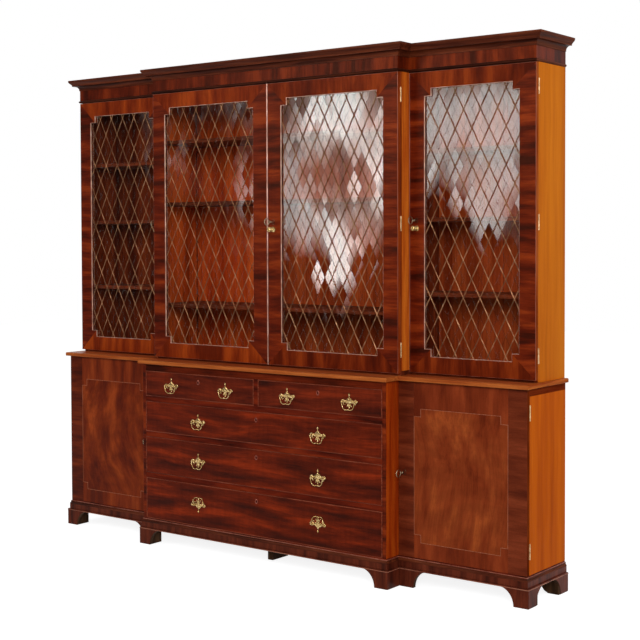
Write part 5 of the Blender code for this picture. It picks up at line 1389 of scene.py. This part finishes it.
# the pale sheet that the panes mirror. hem: x and height, from left to right; light: how brightly it hangs at
# each share of the way across
sheet = {
    "left": -5.4, "width": 4.5, "bottom": 0.4, "top": 3.6, "depth": -4.70,
    "hem": ((-5.4, 2.2), (-4.95, 1.95), (-4.6, 1.72), (-4.35, 1.90), (-4.1, 1.45), (-3.9, 1.35),
            (-3.55, 1.46), (-3.26, 1.36), (-3.12, 0.80), (-2.49, 1.70), (-2.2, 2.05), (-1.9, 1.85),
            (-1.62, 1.45), (-0.9, 1.60)),
    "light": ((0.0, 0.04), (0.09, 0.20), (0.20, 0.18), (0.30, 0.16), (0.40, 0.34), (0.46, 0.46), (0.50, 0.92),
              (0.64, 0.92), (0.72, 0.50), (1.0, 0.46)),
}
shot = {"place": (3.7905, -4.7402, 1.4721), "yaw": 37.287, "down": 1.881, "roll": -0.188, "focal": 1315.15,
        "middle": (314.52, 281.65), "frame": 640, "sensor": 36.0}


def reckon(tree, operation, first, second):
    return addNode(tree, "ShaderNodeMath", {0: first, 1: second}, operation=operation).outputs[0]


def seenPlainly(tree):
    # 1 for a ray from the camera, off a polished face or through the glass
    ray = addNode(tree, "ShaderNodeLightPath").outputs
    seen = reckon(tree, "MAXIMUM", ray["Is Camera Ray"], ray["Is Glossy Ray"])
    return reckon(tree, "MAXIMUM", seen, ray["Is Transmission Ray"])


def makeWorld():
    world = bpy.data.worlds.new("studio")
    bpy.context.scene.world = world
    world.use_nodes = True
    tree = world.node_tree
    tree.nodes.clear()
    strength = remap(tree, seenPlainly(tree), 0.0, 1.0, studio["ambient"], 1.0)
    back = addNode(tree, "ShaderNodeBackground", {"Color": (1, 1, 1, 1), "Strength": strength})
    out = addNode(tree, "ShaderNodeOutputWorld")
    tree.links.new(back.outputs[0], out.inputs[0])


def floorFinish():
    finish, tree, shader = newFinish("studio floor")
    shader.inputs["Base Color"].default_value = (0.42, 0.425, 0.43, 1)
    shader.inputs["Roughness"].default_value = 0.8
    shader.inputs["Specular IOR Level"].default_value = 0.0
    shader.inputs["Emission Color"].default_value = (1, 1, 1, 1)
    glow = reckon(tree, "MULTIPLY", seenPlainly(tree), studio["floorGlow"])
    tree.links.new(glow, shader.inputs["Emission Strength"])
    return finish


def mirroredOnly(finish, tree, shader, colour, strength):
    # a glowing card that shows in polished faces, and is clear to a ray that met none
    shader.inputs["Base Color"].default_value = (0, 0, 0, 1)
    shader.inputs["Specular IOR Level"].default_value = 0.0
    tree.links.new(colour, shader.inputs["Emission Color"])
    tree.links.new(strength, shader.inputs["Emission Strength"])
    met = reckon(tree, "MINIMUM", addNode(tree, "ShaderNodeLightPath").outputs["Glossy Depth"], 1.0)
    both = addNode(tree, "ShaderNodeMixShader", {"Fac": met})
    tree.links.new(addNode(tree, "ShaderNodeBsdfTransparent").outputs[0], both.inputs[1])
    tree.links.new(shader.outputs[0], both.inputs[2])
    tree.links.new(both.outputs[0], tree.nodes["Material Output"].inputs["Surface"])
    return finish


def clothFinish():
    finish, tree, shader = newFinish("crumpled dust sheet")
    place = addNode(tree, "ShaderNodeTexCoord").outputs["Object"]
    folds = addNode(tree, "ShaderNodeTexNoise", {"Vector": place, "Scale": 1.5, "Detail": 0.2,
                                                 "Roughness": 0.5, "Distortion": 0.2}).outputs["Fac"]
    # painted shade of the folds and creases of a white sheet: grey-pink in the folds, white on the ridges
    colour = ramp(tree, folds, [(0.30, srgb(112, 88, 80)), (0.42, srgb(178, 154, 146)),
                                (0.49, srgb(228, 212, 206)), (0.56, srgb(255, 250, 247))])
    creaseShade = ramp(tree, cloudy(tree, place, 9.0, 2.0), [(0.38, grey(0.94)), (0.52, grey(1.0))])
    colour = mixColours(tree, 1.0, colour, creaseShade, "MULTIPLY")
    spot = addNode(tree, "ShaderNodeSeparateXYZ", {0: place}).outputs
    frayed = cloudy(tree, place, 1.6, 3.0)
    left, width, tall = sheet["left"], sheet["width"], sheet["top"]
    across = remap(tree, spot["X"], left, left + width)
    hem = ramp(tree, across, [((x - left) / width, grey(z / tall)) for x, z in sheet["hem"]])
    above = reckon(tree, "SUBTRACT", spot["Z"], reckon(tree, "MULTIPLY", hem, tall))
    inside = remap(tree, above, -0.10, 0.12)
    # only shreds of the sheet reach the far left
    thin = remap(tree, spot["X"], -4.2, -3.5, 0.52, 0.10)
    fade = remap(tree, reckon(tree, "SUBTRACT", frayed, thin), 0.0, 0.12, 0.03)
    light = ramp(tree, across, [(share, grey(level)) for share, level in sheet["light"]])
    strength = reckon(tree, "MULTIPLY", reckon(tree, "MULTIPLY", inside, fade), light)
    strength = reckon(tree, "MULTIPLY", strength, studio["clothLight"])
    return mirroredOnly(finish, tree, shader, colour, strength)


def darkRoomFinish():
    finish, tree, shader = newFinish("unlit end of the room")
    place = addNode(tree, "ShaderNodeTexCoord").outputs["Object"]
    cloud = cloudy(tree, place, 0.8, 2.0)
    colour = ramp(tree, cloud, [(0.3, (0.03, 0.022, 0.018)), (0.7, (0.06, 0.046, 0.038))])
    across = addNode(tree, "ShaderNodeSeparateXYZ", {0: place}).outputs["X"]
    return mirroredOnly(finish, tree, shader, colour, remap(tree, across, -4.4, -3.0, 0.3, 3.2))


def stagePlane(name, corners, finish):
    bm = bmesh.new()
    bm.faces.new([bm.verts.new(corner) for corner in corners])
    plane = newObject(name, meshOf(name, bm, finish))
    return plane


def standingCard(name, left, right, depth, bottom, top, finish):
    corners = [(left, depth, bottom), (right, depth, bottom), (right, depth, top), (left, depth, top)]
    card = stagePlane(name, corners, finish)
    card.visible_camera = False
    card.visible_diffuse = False
    card.visible_shadow = False


def makeLamp(name, place, target, size, power):
    light = bpy.data.lights.new(name, "AREA")
    light.shape = "RECTANGLE"
    light.size = light.size_y = size
    light.energy = power
    lamp = newObject(name, light)
    lamp.location = place
    lamp.visible_transmission = False
    lamp.rotation_euler = (Vector(target) - Vector(place)).to_track_quat("-Z", "Y").to_euler()


def makeCamera():
    s = shot
    lens = bpy.data.cameras.new("photo camera")
    lens.sensor_width = s["sensor"]
    lens.lens = s["focal"] * s["sensor"] / s["frame"]
    lens.shift_x = (s["frame"] / 2 - s["middle"][0]) / s["frame"]
    lens.shift_y = (s["middle"][1] - s["frame"] / 2) / s["frame"]
    lens.clip_end = 60
    camera = newObject("photo_camera", lens)
    camera.location = s["place"]
    yaw, down = radians(s["yaw"]), radians(s["down"])
    ahead = Vector((-sin(yaw) * cos(down), cos(yaw) * cos(down), -sin(down)))
    turned = ahead.to_track_quat("-Z", "Y") @ Euler((0, 0, radians(s["roll"]))).to_quaternion()
    camera.rotation_euler = turned.to_euler()
    bpy.context.scene.camera = camera


makeWorld()
far = studio["floorReach"]
floorCorners = [(x, y, -studio["floorDrop"]) for x, y in ((-far, -far), (far, -far), (far, far), (-far, far))]
stagePlane("studio_floor", floorCorners, floorFinish())
standingCard("dust_sheet", sheet["left"], sheet["left"] + sheet["width"], sheet["depth"], sheet["bottom"],
             sheet["top"], clothFinish())
standingCard("room_end", *studio["roomEnd"], darkRoomFinish())
for lampName, settings in studio["lamps"].items():
    makeLamp(lampName, *settings)
makeCamera()
bpy.context.scene.view_settings.view_transform = "Standard"
print("stage ready")
